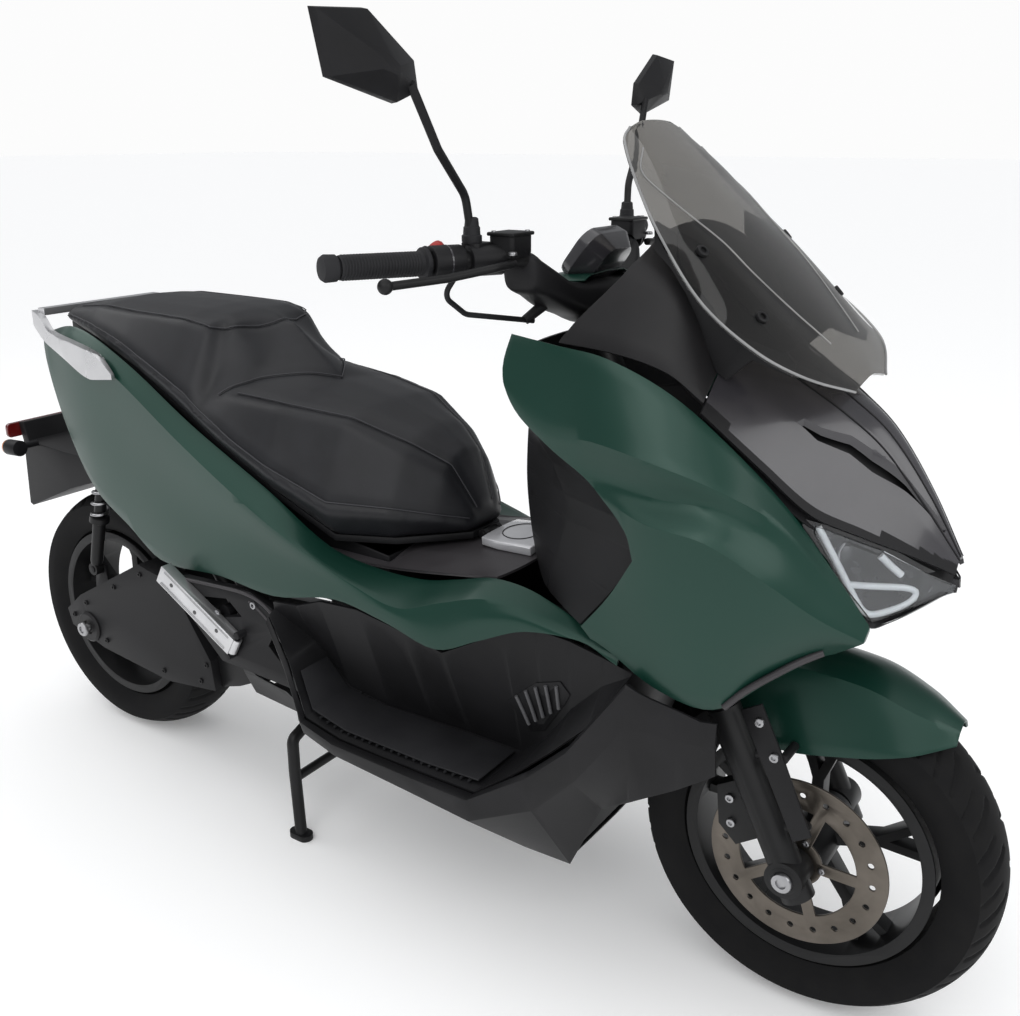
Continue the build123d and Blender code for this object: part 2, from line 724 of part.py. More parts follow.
rear_outline = [
    (-736, 795), (-707, 679), (-658, 590), (-602, 531), (-516, 490), (-421, 446), (-249, 464),
    (-110, 468), (25, 498), (123, 485), (202, 464), (268, 491), (340, 522), (419, 528), (480, 508), (484, 600), (0, 720),
    (-500, 860), (-736, 860),
]
with BuildPart() as rear_panels:
    right_strip(eased(rear_side))
    trim_side(rear_outline)
    mirror(about=Plane.XZ)
save(rear_panels, "rear_panels")

bin_half_w = 122
tunnel_stations = [
    (-110, [(0, 548), (90, 545), (149, 532)]),
    (70, [(0, 552), (85, 549), (138, 534)]),
    (206, [(0, 566), (80, 564), (141, 557)]),
    (268, [(0, 564), (85, 562), (144, 568)]),
]
with BuildPart() as tunnel_cover:
    arched_strip(tunnel_stations)
    with Locations((0, 0, 550)):
        Box(2 * 64, 2 * (bin_half_w + clearance + 2), 120, mode=Mode.SUBTRACT)
    with Locations((-100, 0, 550)):
        Box(200, 2 * (bin_half_w + clearance + 2), 120, mode=Mode.SUBTRACT)
save(tunnel_cover, "tunnel_cover")

with BuildPart() as charge_cap:
    arched_strip([
        (174, [(0, 579), (30, 578.4), (48, 577)]),
        (206, [(0, 580), (34, 579.4), (54, 577.8)]),
        (258, [(0, 578), (30, 577.4), (46, 576)]),
    ], wall=12.8)
save(charge_cap, "charge_cap")

board_stations = [
    # station, half width and height of the well's wall top, wall foot and outer rim
    (-112, [(196, 458), (194, 446), (206, 440)]),
    (-60, [(198, 464), (162, 392), (222, 384)]),
    (-10, [(200, 484), (142, 320), (243, 314)]),
    (60, [(199, 488), (134, 304), (246, 302)]),
    (140, [(196, 474), (127, 301), (247, 300)]),
    (206, [(190, 456), (125, 301), (247, 300)]),
    (300, [(180, 506), (130, 303), (247, 300)]),
    (350, [(178, 524), (150, 348), (234, 336)]),
    (400, [(176, 520), (166, 418), (222, 379)]),
    (450, [(176, 510), (175, 470), (212, 428)]),
    (494, [(178, 501), (182, 499), (202, 496)]),
]
with BuildPart() as footboards:
    right_strip(board_stations)
    mirror(about=Plane.XZ)
save(footboards, "footboards")

mat_t = 3
mat_rim = 8
with BuildPart() as foot_mats:
    skin([
        (Plane.YZ.offset(x), [(-foot - mat_rim, floor + mat_t), (-outer + mat_rim, floor + mat_t)])
        for x, foot, outer, floor in [
            (-40, 152, 226, 366), (-6, 144, 240, 318), (60, 136, 242, 304), (206, 130, 243, 302), (296, 134, 240, 303),
        ]
    ], mat_t - clearance)
    mirror(about=Plane.XZ)
save(foot_mats, "foot_mats")

belly_stations = [
    (-240, [(150, 300), (156, 296), (150, 280), (130, 236)]),
    (-112, [(208, 438), (214, 430), (205, 330), (126, 222)]),
    (-60, [(225, 382), (232, 375), (224, 318), (124, 216)]),
    (-10, [(246, 312), (256, 311), (250, 290), (122, 206)]),
    (60, [(249, 300), (264, 300), (260, 280), (122, 194)]),
    (206, [(250, 298), (267, 298), (264, 272), (122, 160)]),
    (300, [(250, 298), (267, 297), (262, 262), (122, 138)]),
    (378, [(232, 352), (244, 345), (228, 288), (122, 140)]),
    (430, [(220, 400), (231, 393), (210, 340), (128, 255)]),
    (500, [(205, 503), (211, 497), (206, 440), (184, 322)]),
    (560, [(182, 490), (188, 484), (188, 432), (172, 356)]),
    (606, [(168, 482), (174, 476), (174, 432), (166, 388)]),
]
belly_outline = [
    (-128, 540), (-128, 448), (-20, 322), (-34, 296), (-246, 302), (-260, 150), (400, 100), (700, 300),
    (700, 464), (588, 464), (530, 486), (453, 524), (424, 556),
]
with BuildPart() as belly_panels:
    right_strip(belly_stations)
    trim_side(belly_outline)
    mirror(about=Plane.XZ)
save(belly_panels, "belly_panels")

with BuildPart() as belly_pan:
    arched_strip([
        (-240, [(0, 233), (126, 236)]),
        (-60, [(0, 213), (118, 216)]),
        (206, [(0, 165), (118, 168)]),
        (386, [(0, 161), (118, 164)]),
    ])
    with Locations((stand_pivot[0], 65, 200), (stand_pivot[0], -65, 200)):
        Box(90, 16, 120, mode=Mode.SUBTRACT)
    with Locations((side_pivot[0], 95, 190)):
        Box(30, 30, 80, mode=Mode.SUBTRACT)
save(belly_pan, "belly_pan")

apron_profile = [(386, 168), (398, 240), (420, 310), (450, 400), (452, 470), (446, 520)]
with BuildPart() as wheel_apron:
    with BuildSketch(Plane.XZ) as section:
        with BuildLine():
            Polyline(*apron_profile, *reversed(parallel(apron_profile, -panel_wall)), close=True)
        make_face()
    extrude(section.sketch, amount=118.6, both=True)
save(wheel_apron, "wheel_apron")

# ------------------------------------------------------------------ seat
seat_stations = [
    # station, bottom height, rim half width, widest (y, z), shoulder (y, z), inner (y, z), crown height
    (-700, 831, 60, (66, 836), (50, 841), (26, 842.6), 843.6),
    (-661, 826, 104, (115, 837), (98, 848), (50, 851), 852.4),
    (-560, 806, 125, (144, 831), (116, 860), (60, 867), 870),
    (-464, 774, 136, (160, 808), (122, 858), (62, 868), 871),
    (-350, 726, 147, (170, 762), (116, 858), (66, 868), 871),
    (-300, 702, 152, (176, 740), (110, 850), (66, 864), 867),
    (-276, 690, 154, (178, 726), (140, 756), (84, 852), 862),
    (-222, 666, 157, (183, 700), (148, 752), (66, 790), 848),
    (-127, 622, 160, (186, 660), (142, 748), (70, 762), 770),
    (-20, 572, 150, (170, 612), (116, 736), (60, 748), 752),
    (65, 572, 112, (132, 612), (88, 694), (46, 717), 724),
    (116, 573, 62, (84, 600), (56, 662), (30, 684), 691),
    (150, 576, 36, (45, 588), (32, 604), (16, 612), 616),
]
with BuildPart() as seat_cushion:
    seat_sections = []
    for x, base, rim, wide, shoulder, inner, crown in seat_stations:
        half = [(rim, base), wide, shoulder, inner]
        with BuildSketch(Plane.YZ.offset(x)) as section:
            with BuildLine():
                Polyline(*half, (0, crown), *[(-y, z) for y, z in reversed(half)], close=True)
            make_face()
        seat_sections.append(section.sketch)
    loft(seat_sections, ruled=True)
save(seat_cushion, "seat_cushion")

seat_hinge = (158, 570)
hinge_pin_r = 4
hinge_play = 0.3
ear_outline = [(112, 571), (149, 573.5), (160, 577), (165, 573), (165, 567), (160, 563), (153, 563), (140, 568), (112, 569)]
with BuildPart() as seat_base:
    arched_strip([
        (x, [(0, base - 1.5), (rim - 2, base - clearance)])
        for x, base, rim, *rest in seat_stations[1:]
    ], wall=seat_thickness_base)
    for near in (12, -20):
        plate(ear_outline, near, near + 8)
    rod((seat_hinge[0], -24, seat_hinge[1]), (seat_hinge[0], 24, seat_hinge[1]), hinge_pin_r + hinge_play,
        mode=Mode.SUBTRACT)
save(seat_base, "seat_base")

with BuildPart() as seat_hinge_block:
    plate([(151, 562.5), (170, 564.5), (166, 574), (152, 574)], -10, 10)
    rod((seat_hinge[0], -22, seat_hinge[1]), (seat_hinge[0], 22, seat_hinge[1]), hinge_pin_r)
save(seat_hinge_block, "seat_hinge")

bin_outline = [(-440, 520), (-440, 748), (-300, 686), (-128, 606), (-20, 556), (60, 545), (60, 446), (-90, 446)]
with BuildPart() as underseat_bin:
    with BuildSketch(Plane.XZ) as section:
        with BuildLine():
            Polyline(*bin_outline, close=True)
        make_face()
    extrude(section.sketch, amount=bin_half_w, both=True)
    top = [(-436, 524), (-436, 900), (56, 900), (56, 450), (-88, 450)]
    with BuildSketch(Plane.XZ) as hollow:
        with BuildLine():
            Polyline(*top, close=True)
        make_face()
    extrude(hollow.sketch, amount=bin_half_w - panel_wall, both=True, mode=Mode.SUBTRACT)
save(underseat_bin, "underseat_bin")

# ------------------------------------------------------------------ tail
with BuildPart() as grab_rail:
    for side in (-1, 1):
        rail_sections = []
        for x, y, z, w, h in [
            (-462, 178, 762, 6, 8), (-500, 172, 773, 12, 40), (-535, 168, 774, 14, 52), (-575, 163, 784, 14, 42),
            (-613, 157, 793, 14, 32), (-672, 140, 799, 13, 24), (-692, 134, 810, 13, 38), (-712, 129, 819, 13, 36),
            (-734, 124, 828, 12, 26),
        ]:
            with BuildSketch(Plane.YZ.offset(x)) as section:
                with Locations((side * y, z)):
                    Rectangle(w, h)
            rail_sections.append(section.sketch)
        loft(rail_sections, ruled=True)
    with BuildSketch(Plane.XZ.offset(-125)) as bridge:
        with BuildLine():
            Polyline((-722, 846), (-722, 834), (-704, 834), (-704, 846), close=True)
        make_face()
    extrude(bridge.sketch, amount=250)
save(grab_rail, "grab_rail")

tail_end_x = -(front_axle_x + front_tyre_r)
plate_hole_pitch = 70
plate_hole_z = 500
with BuildPart() as plate_holder:
    holder = [
        (-600, 560), (-600, 548), (-780, 488), (-912, 430), (-920, 434), (-912, 560), (-921.2, 600),
        (-905, 602), (-895, 566), (-780, 560),
    ]
    plate(holder, -70, 70)
    for side in (-1, 1):
        rod((-930, side * plate_hole_pitch / 2, plate_hole_z), (-896, side * plate_hole_pitch / 2, plate_hole_z), 3,
            mode=Mode.SUBTRACT)
save(plate_holder, "plate_holder")

with BuildPart() as tail_lamp:
    with BuildSketch(Plane.YZ.offset(tail_end_x)) as lens:
        with Locations((0, 586)):
            RectangleRounded(190, 28, 8)
    extrude(lens.sketch, amount=8)
save(tail_lamp, "tail_lamp")

with BuildPart() as rear_indicators:
    for side in (-1, 1):
        rod((-884, side * 118, 566), (-850, side * 118, 568), 15)
        rod((-868, side * 70.3, 566), (-868, side * 104, 566), 6)
save(rear_indicators, "rear_indicators")

with BuildPart() as rear_hugger:
    hugger_r = rear_tyre_r + 22
    with BuildSketch(side_plane(rear_axle_x, rear_tyre_r)) as ring:
        Circle(hugger_r + panel_wall)
        Circle(hugger_r, mode=Mode.SUBTRACT)
        with BuildLine():
            Polyline((0, 0), (40, 400), (600, 400), (600, 160), close=True)
        make_face(mode=Mode.INTERSECT)
    extrude(ring.sketch, amount=74, both=True)
    tab = (rear_axle_x + (hugger_r + 2) * cos(radians(35)), rear_tyre_r + (hugger_r + 2) * sin(radians(35)))
    rod((tab[0], -73, tab[1]), (tab[0], -81.7, tab[1]), 8)
save(rear_hugger, "rear_hugger")

# ------------------------------------------------------------------ rear suspension and drive
pivot = (-235, 285)
shock_low = (-668, 362)
shock_top = (-596, 700)
shock_pin_r = 6
shock_eye_r = 12
with BuildPart() as swingarm:
    left_arm = [(-215, 262), (-215, 308), (-470, 290), (-700, 272), (-720, 243), (-700, 214), (-470, 232)]
    plate(left_arm, -117.5, -96)
    rod((pivot[0], -118, pivot[1]), (pivot[0], 118, pivot[1]), 22)
    right_arm = [(-215, 262), (-215, 308), (-351, 266), (-344.6, 208), (-300, 222)]
    plate(right_arm, 86, 112)
    lug = [(-690, 262), (-682, 368), (-654, 368), (-640, 262)]
    plate(lug, -104, -98)
    rod((shock_low[0], 98, shock_low[1]), (shock_low[0], 122, shock_low[1]), shock_pin_r)
    rod((pivot[0], -140, pivot[1]), (pivot[0], 140, pivot[1]), 9 + clearance, mode=Mode.SUBTRACT)
    rod((rear_axle_x, -150, rear_tyre_r), (rear_axle_x, 150, rear_tyre_r), axle_r + clearance, mode=Mode.SUBTRACT)
save(swingarm, "swingarm")

with BuildPart() as motor_cover:
    case = [
        (-345, 206), (-352, 262), (-438, 390), (-523, 406), (-706, 304), (-752, 266), (-742, 234), (-650, 208), (-470, 190),
    ]
    plate(case, 82, 128)
    plate([(-690, 296), (-682, 368), (-654, 368), (-646, 316)], 98, 104)
    rod((shock_low[0], -98, shock_low[1]), (shock_low[0], -122, shock_low[1]), shock_pin_r)
    rod((rear_axle_x, -150, rear_tyre_r), (rear_axle_x, 150, rear_tyre_r), axle_r + clearance, mode=Mode.SUBTRACT)
save(motor_cover, "motor_cover")

with BuildPart() as rear_axle:
    rod((rear_axle_x, -146, rear_tyre_r), (rear_axle_x, 136, rear_tyre_r), axle_r)
    rod((rear_axle_x, -81.7, rear_tyre_r), (rear_axle_x, -67, rear_tyre_r), spacer_r)
    rod((rear_axle_x, 95.7, rear_tyre_r), (rear_axle_x, 71, rear_tyre_r), spacer_r)
save(rear_axle, "rear_axle")

with BuildPart() as rear_shocks:
    for side in (-1, 1):
        low, high = (shock_low[0], side * 112.3, shock_low[1]), (shock_top[0], side * 96, shock_top[1])
        for eye in (low, high):
            rod((eye[0], eye[1] - 8, eye[2]), (eye[0], eye[1] + 8, eye[2]), shock_eye_r)
        rod(low, high, 8)
        for turn in range(9):
            share = 0.3 + turn * 0.066
            start = tuple(near + (far - near) * share for near, far in zip(low, high))
            end = tuple(near + (far - near) * (share + 0.03) for near, far in zip(low, high))
            rod(start, end, 17)
        for eye in (low, high):
            rod((eye[0], eye[1] - 20, eye[2]), (eye[0], eye[1] + 20, eye[2]), shock_pin_r + clearance, mode=Mode.SUBTRACT)
save(rear_shocks, "rear_shocks")

peg_foot = Vector(-206, -196.3, 360)
peg_axis = Vector(0.5, 0, 0.866)
peg_pin_half = 26
bracket_outline = [
    (-377, 432), (-329, 446), (-173, 456), (-128, 440), (-26, 326), (-36, 308), (-251, 316), (-273, 336), (-352, 408),
]
bracket_windows = [
    [(-300, 420), (-226, 432), (-196, 408), (-268, 388)],
    [(-120, 404), (-66, 340), (-92, 330), (-140, 372)],
]
with BuildPart() as peg_brackets:
    plate(bracket_outline, 172, 186)
    for window in bracket_windows:
        plate(window, 170, 188, mode=Mode.SUBTRACT)
    rod((-250, -155.4, 398), (-250, -173, 398), 12)
    rod(peg_foot - peg_pin_half * peg_axis, peg_foot + peg_pin_half * peg_axis, hinge_pin_r)
    for along in (-25, 25):
        ear = peg_foot + along * peg_axis
        rod((ear.X, -180, ear.Z), (ear.X, peg_foot.Y - 7, ear.Z), 6)
    mirror(about=Plane.XZ)
save(peg_brackets, "peg_brackets")

peg_dir = Vector(-0.866, 0, 0.5)
peg_length = 182
with BuildPart() as pillion_peg_right:
    with BuildSketch(Plane(origin=peg_foot, x_dir=(0, 1, 0), z_dir=peg_dir)) as section:
        Rectangle(20, 34)
    extrude(section.sketch, amount=peg_length)
    rod(peg_foot - 15 * peg_axis, peg_foot + 15 * peg_axis, 8)
    rod(peg_foot - 20 * peg_axis, peg_foot + 20 * peg_axis, hinge_pin_r + hinge_play, mode=Mode.SUBTRACT)
save(pillion_peg_right, "pillion_peg_right")

with BuildPart() as pillion_peg_left:
    add(mirror(pillion_peg_right.part, about=Plane.XZ))
save(pillion_peg_left, "pillion_peg_left")

# ------------------------------------------------------------------ stands
stand_foot_x = -136
stand_foot_y = 148
with BuildPart() as centre_stand:
    for side in (-1, 1):
        bent_tube([
            (stand_pivot[0], side * 92, stand_pivot[1]), (stand_pivot[0], side * 134, stand_pivot[1] - 16),
            (stand_pivot[0] + 4, side * 138, 120), (stand_foot_x, side * stand_foot_y, 7),
        ], 10, 14)
        with BuildSketch(Plane.XY) as foot:
            with Locations((stand_foot_x, side * stand_foot_y)):
                SlotOverall(44, 26)
        extrude(foot.sketch, amount=10)
    rod((stand_pivot[0], -96, stand_pivot[1]), (stand_pivot[0], 96, stand_pivot[1]), 12)
    rod((-150, -138, 105), (-150, 138, 105), 8)
save(centre_stand, "centre_stand")

side_axis = Vector(0, -0.792, -0.610)
knuckle_half = 8.3
with BuildPart() as side_stand:
    with BuildSketch(Plane(origin=Vector(*side_pivot) - knuckle_half * side_axis, z_dir=side_axis)) as knuckle:
        Circle(14)
    extrude(knuckle.sketch, amount=2 * knuckle_half)
    bent_tube([side_pivot, (30, 122, 158), (-68, 134, 146)], 8, 60)
    with BuildSketch(Plane(origin=(-66, 134, 146), x_dir=(0, 1, 0), z_dir=(-0.985, 0.12, -0.12))) as pad:
        RectangleRounded(32, 22, 5)
    extrude(pad.sketch, amount=8)
    rod(tuple(Vector(*side_pivot) - 20 * side_axis), tuple(Vector(*side_pivot) + 20 * side_axis),
        4 + clearance, mode=Mode.SUBTRACT)
save(side_stand, "side_stand")

# ------------------------------------------------------------------ frame and battery
floor_z = 250
with BuildPart() as battery_pack:
    with BuildSketch(Plane.XY.offset(floor_z + tube_r + clearance)) as block:
        with Locations((80, 0)):
            RectangleRounded(360, 176, 12)
    extrude(block.sketch, amount=168)
save(battery_pack, "battery_pack")

head_low = yoke_up + yoke_t + clearance
with BuildPart() as frame:
    rod(steer_point(head_low), steer_point(head_low + head_tube_length), stem_r + clearance + head_tube_wall)
    neck = steer_point(head_low + 60)
    for side in (-1, 1):
        bent_tube([
            (neck[0], side * 10, neck[2]), (390, side * 100, 470), (340, side * 108, floor_z), (-110, side * 108, floor_z),
            (-250, side * 142, 400), (-450, side * 138, 650), (-660, side * 98, 760),
        ], tube_r, 30)
    for x, z, half in [(250, floor_z, 108), (0, floor_z, 108), (stand_pivot[0] + 46, floor_z, 108), (-640, 750, 100)]:
        rod((x, -half, z), (x, half, z), tube_r)
    pivot_plate = [(-256, 270), (-215, 260), (-165, 300), (-160, 335), (-195, 348), (-252, 302)]
    stand_lug = [
        (stand_pivot[0] - 18, stand_pivot[1] - 14), (stand_pivot[0] + 16, stand_pivot[1] - 14),
        (stand_pivot[0] + 62, floor_z), (stand_pivot[0] + 34, floor_z + 8), (stand_pivot[0] - 18, stand_pivot[1] + 16),
    ]
    for side in (-1, 1):
        near, far = (119, 129) if side < 0 else (-129, -119)
        plate(pivot_plate, near, far)
        near, far = (60, 70) if side < 0 else (-70, -60)
        plate(stand_lug, near, far)
        rod((shock_top[0], side * 72, shock_top[1]), (shock_top[0], side * 105, shock_top[1]), shock_pin_r)
        rod((shock_top[0], side * 78, shock_top[1]), (shock_top[0], side * 78, 728), 7)
        rod((shock_top[0], side * 78, 728), (shock_top[0], side * 109, 728), 7)
    rod((-640, 0, 750), (-626, 0, 561.4), 10)
    rod((pivot[0], -129, pivot[1]), (pivot[0], 129, pivot[1]), 9)
    rod((side_pivot[0], 92, floor_z), (side_pivot[0], 92, 156), 8)
    rod((side_pivot[0], 92, floor_z), (side_pivot[0], 108, floor_z), 8)
    cheek = Vector(*side_pivot) + (knuckle_half + clearance) * side_axis
    rod(tuple(cheek), tuple(cheek + 8 * side_axis), 12)
    rod(tuple(cheek), tuple(Vector(*side_pivot) - (knuckle_half + 2) * side_axis), 4)
    rod((stand_pivot[0], -100, stand_pivot[1]), (stand_pivot[0], 100, stand_pivot[1]), 12 + clearance, mode=Mode.SUBTRACT)
    rod(steer_point(head_low - 50), steer_point(head_low + 400), stem_r + clearance, mode=Mode.SUBTRACT)
save(frame, "frame")
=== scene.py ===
import bmesh
import bpy
import json
import math
from math import cos, pi, radians, sin
from mathutils import Matrix, Vector
from mathutils.bvhtree import BVHTree
from mathutils.kdtree import KDTree

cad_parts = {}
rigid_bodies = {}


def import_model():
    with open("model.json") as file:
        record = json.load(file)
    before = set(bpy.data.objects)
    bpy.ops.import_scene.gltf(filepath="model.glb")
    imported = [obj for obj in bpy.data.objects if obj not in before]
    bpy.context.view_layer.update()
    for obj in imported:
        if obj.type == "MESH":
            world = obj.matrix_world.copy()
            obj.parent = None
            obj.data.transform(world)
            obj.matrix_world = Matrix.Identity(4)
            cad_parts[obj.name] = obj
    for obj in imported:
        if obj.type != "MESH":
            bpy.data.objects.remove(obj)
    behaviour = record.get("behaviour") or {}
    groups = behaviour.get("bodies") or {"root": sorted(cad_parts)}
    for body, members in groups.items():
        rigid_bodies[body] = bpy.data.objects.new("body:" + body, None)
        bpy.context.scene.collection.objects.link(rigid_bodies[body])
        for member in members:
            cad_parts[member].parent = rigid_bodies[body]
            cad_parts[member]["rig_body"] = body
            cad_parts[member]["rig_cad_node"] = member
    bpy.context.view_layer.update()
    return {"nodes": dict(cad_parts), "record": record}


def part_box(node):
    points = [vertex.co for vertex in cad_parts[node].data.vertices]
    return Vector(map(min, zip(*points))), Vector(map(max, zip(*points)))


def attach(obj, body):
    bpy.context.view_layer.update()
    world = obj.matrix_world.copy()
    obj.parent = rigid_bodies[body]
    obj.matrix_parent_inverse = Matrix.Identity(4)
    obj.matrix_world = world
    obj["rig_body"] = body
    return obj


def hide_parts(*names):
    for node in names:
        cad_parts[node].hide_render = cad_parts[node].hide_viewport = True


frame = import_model()
nodes = frame["nodes"]
body_of_node = {
    node: body for body, members in frame["record"]["behaviour"]["bodies"].items() for node in members
}


def added(name, data):
    """A new object in the scene that holds the data."""
    thing = bpy.data.objects.new(name, data)
    bpy.context.scene.collection.objects.link(thing)
    return thing


def set_inputs(node, **values):
    """Values for a shader node's inputs, with their spaces written as underscores."""
    for key, value in values.items():
        node.inputs[key.replace("_", " ")].default_value = value


# ---------------------------------------------------------------- camera, floor and lamps
def stand_camera():
    camera_data = bpy.data.cameras.new("camera")
    camera_data.sensor_width = 36.0
    camera_data.lens = 38.893
    camera = added("camera", camera_data)
    right = Vector((0.8312, 0.556, 0.0)).normalized()
    back = Vector((0.5267, -0.7874, 0.3203)).normalized()
    up = back.cross(right).normalized()
    camera.matrix_world = Matrix((
        (right.x, up.x, back.x, 1.0497),
        (right.y, up.y, back.y, -1.2816),
        (right.z, up.z, back.z, 1.1327),
        (0, 0, 0, 1),
    ))
    bpy.context.scene.camera = camera


def softbox(name, place, aim, size, watts, tint=(1, 1, 1)):
    lamp = bpy.data.lights.new(name, "AREA")
    lamp.shape = "RECTANGLE"
    lamp.size, lamp.size_y = size
    lamp.energy = watts
    lamp.color = tint
    holder = added(name, lamp)
    holder.location = place
    holder.rotation_euler = (Vector(aim) - Vector(place)).to_track_quat("-Z", "Y").to_euler()


def wide_light(name, turn, strength, spread):
    lamp = bpy.data.lights.new(name, "SUN")
    lamp.energy, lamp.angle = strength, radians(spread)
    holder = added(name, lamp)
    holder.rotation_euler = [radians(part) for part in turn]


def light_studio():
    wide_light("top_light", (10, -8, 0), 1.35, 90)
    wide_light("side_light", (58, 0, 34), 0.75, 60)
    softbox("key_softbox", (0.6, -3.4, 3.4), (0, 0, 0.5), (2.6, 2.0), 18)
    softbox("tail_softbox", (-3.2, -0.5, 2.8), (-0.3, -0.1, 0.6), (2.4, 1.2), 18)
    softbox("nose_softbox", (3.2, 0.1, 2.3), (0.7, 0, 0.7), (2.6, 1.5), 26)
    world = bpy.data.worlds.new("studio")
    bpy.context.scene.world = world
    world.use_nodes = True
    links, made = world.node_tree.links, world.node_tree.nodes
    made.clear()
    out = made.new("ShaderNodeOutputWorld")
    room = made.new("ShaderNodeBackground")
    set_inputs(room, Color=(0.9, 0.92, 0.95, 1), Strength=0.36)
    seen = made.new("ShaderNodeBackground")
    set_inputs(seen, Color=(0.975, 0.975, 0.975, 1), Strength=1.0)
    path = made.new("ShaderNodeLightPath")
    either = made.new("ShaderNodeMath")
    either.operation = "MAXIMUM"
    mix = made.new("ShaderNodeMixShader")
    links.new(path.outputs["Is Camera Ray"], either.inputs[0])
    links.new(path.outputs["Is Transmission Ray"], either.inputs[1])
    links.new(either.outputs[0], mix.inputs["Fac"])
    links.new(room.outputs[0], mix.inputs[1])
    links.new(seen.outputs[0], mix.inputs[2])
    links.new(mix.outputs[0], out.inputs["Surface"])


def lay_floor():
    rest()
    bpy.ops.mesh.primitive_plane_add(size=120, location=(0, 0, -0.0005))
    floor = bpy.context.object
    floor.name = "studio_floor"
    finish = bpy.data.materials.new("studio_floor")
    finish.use_nodes = True
    set_inputs(
        finish.node_tree.nodes["Principled BSDF"], Base_Color=(0.93, 0.93, 0.93, 1), Roughness=0.9,
        Specular_IOR_Level=0.0, Emission_Color=(1, 1, 1, 1), Emission_Strength=0.14,
    )
    floor.data.materials.append(finish)


# ---------------------------------------------------------------- bench tools
def rest():
    """Nothing selected, nothing in edit mode."""
    if bpy.context.object and bpy.context.object.mode != "OBJECT":
        bpy.ops.object.mode_set(mode="OBJECT")
    bpy.ops.object.select_all(action="DESELECT")


def pick(piece):
    """Selects one piece alone."""
    rest()
    piece.select_set(True)
    bpy.context.view_layer.objects.active = piece
    return piece


def edit_all():
    """Edit mode on the picked piece, with all of it selected."""
    bpy.ops.object.mode_set(mode="EDIT")
    bpy.ops.mesh.select_all(action="SELECT")


def set_in_place(piece):
    """Puts the piece's place, turn and scale into its mesh."""
    pick(piece)
    bpy.ops.object.transform_apply(location=True, rotation=True, scale=True)
    return piece


def apply_modifier(piece, kind, **settings):
    pick(piece)
    modifier = piece.modifiers.new(kind.lower(), kind)
    for key, value in settings.items():
        setattr(modifier, key, value)
    bpy.ops.object.modifier_apply(modifier=modifier.name)
    return piece


def soften(piece, angle=32):
    pick(piece)
    bpy.ops.object.shade_smooth_by_angle(angle=radians(angle))
    return piece


def hang_on(piece, node, finish, replaces=True):
    """Gives a piece its finish and the body that its node moves with, and hides the node's own piece when it replaces
    it.
    """
    piece.data.materials.clear()
    piece.data.materials.append(finishes[finish])
    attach(piece, body_of_node[node])
    if replaces:
        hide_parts(node)
    return piece


def working_copy(node, name):
    """A copy of a CAD piece to work on, without the marks that tie it to the frame."""
    pick(nodes[node])
    bpy.ops.object.duplicate()
    piece = bpy.context.object
    piece.name = name
    piece.parent = None
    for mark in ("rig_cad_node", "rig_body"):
        if mark in piece:
            del piece[mark]
    return pick(piece)


def eased_copy(node, edge=0.0015, segments=2, smooth=34, flat=0.6, limit=24):
    """A copy of a CAD piece with its flats joined up and its edges eased."""
    piece = working_copy(node, node + "_finished")
    edit_all()
    bpy.ops.mesh.remove_doubles(threshold=0.00002)
    bpy.ops.mesh.dissolve_limited(angle_limit=radians(flat))
    bpy.ops.object.mode_set(mode="OBJECT")
    apply_modifier(
        piece, "BEVEL", width=edge, segments=segments, limit_method="ANGLE", angle_limit=radians(limit),
        use_clamp_overlap=True, harden_normals=False,
    )
    return soften(piece, smooth)


def drawn_smooth(node, sharp=15, soft=6, levels=2, flat=25, edge=0.0):
    """A copy of a CAD piece with its lofted flats drawn into curves; steep edges stay crisp."""
    piece = working_copy(node, node + "_finished")
    edit_all()
    bpy.ops.mesh.remove_doubles(threshold=0.00002)
    bpy.ops.mesh.tris_convert_to_quads(face_threshold=radians(flat), shape_threshold=radians(70))
    bpy.ops.object.mode_set(mode="OBJECT")
    shape = bmesh.new()
    shape.from_mesh(piece.data)
    crease = shape.edges.layers.float.new("crease_edge")
    for line in shape.edges:
        turn = math.degrees(line.calc_face_angle(pi))
        line[crease] = min(1.0, max(0.0, (turn - soft) / (sharp - soft)))
    shape.to_mesh(piece.data)
    shape.free()
    apply_modifier(piece, "SUBSURF", levels=levels, render_levels=levels)
    if edge:
        apply_modifier(
            piece, "BEVEL", width=edge, segments=2, limit_method="ANGLE", angle_limit=radians(30),
            use_clamp_overlap=True,
        )
    return soften(piece, 30)


# ---------------------------------------------------------------- finishes
finishes = {}


def new_finish(name):
    """A new material, kept under its name, and what is needed to build its nodes."""
    finish = bpy.data.materials.new(name)
    finish.use_nodes = True
    finishes[name] = finish
    made = finish.node_tree.nodes
    return made, finish.node_tree.links, made["Principled BSDF"]


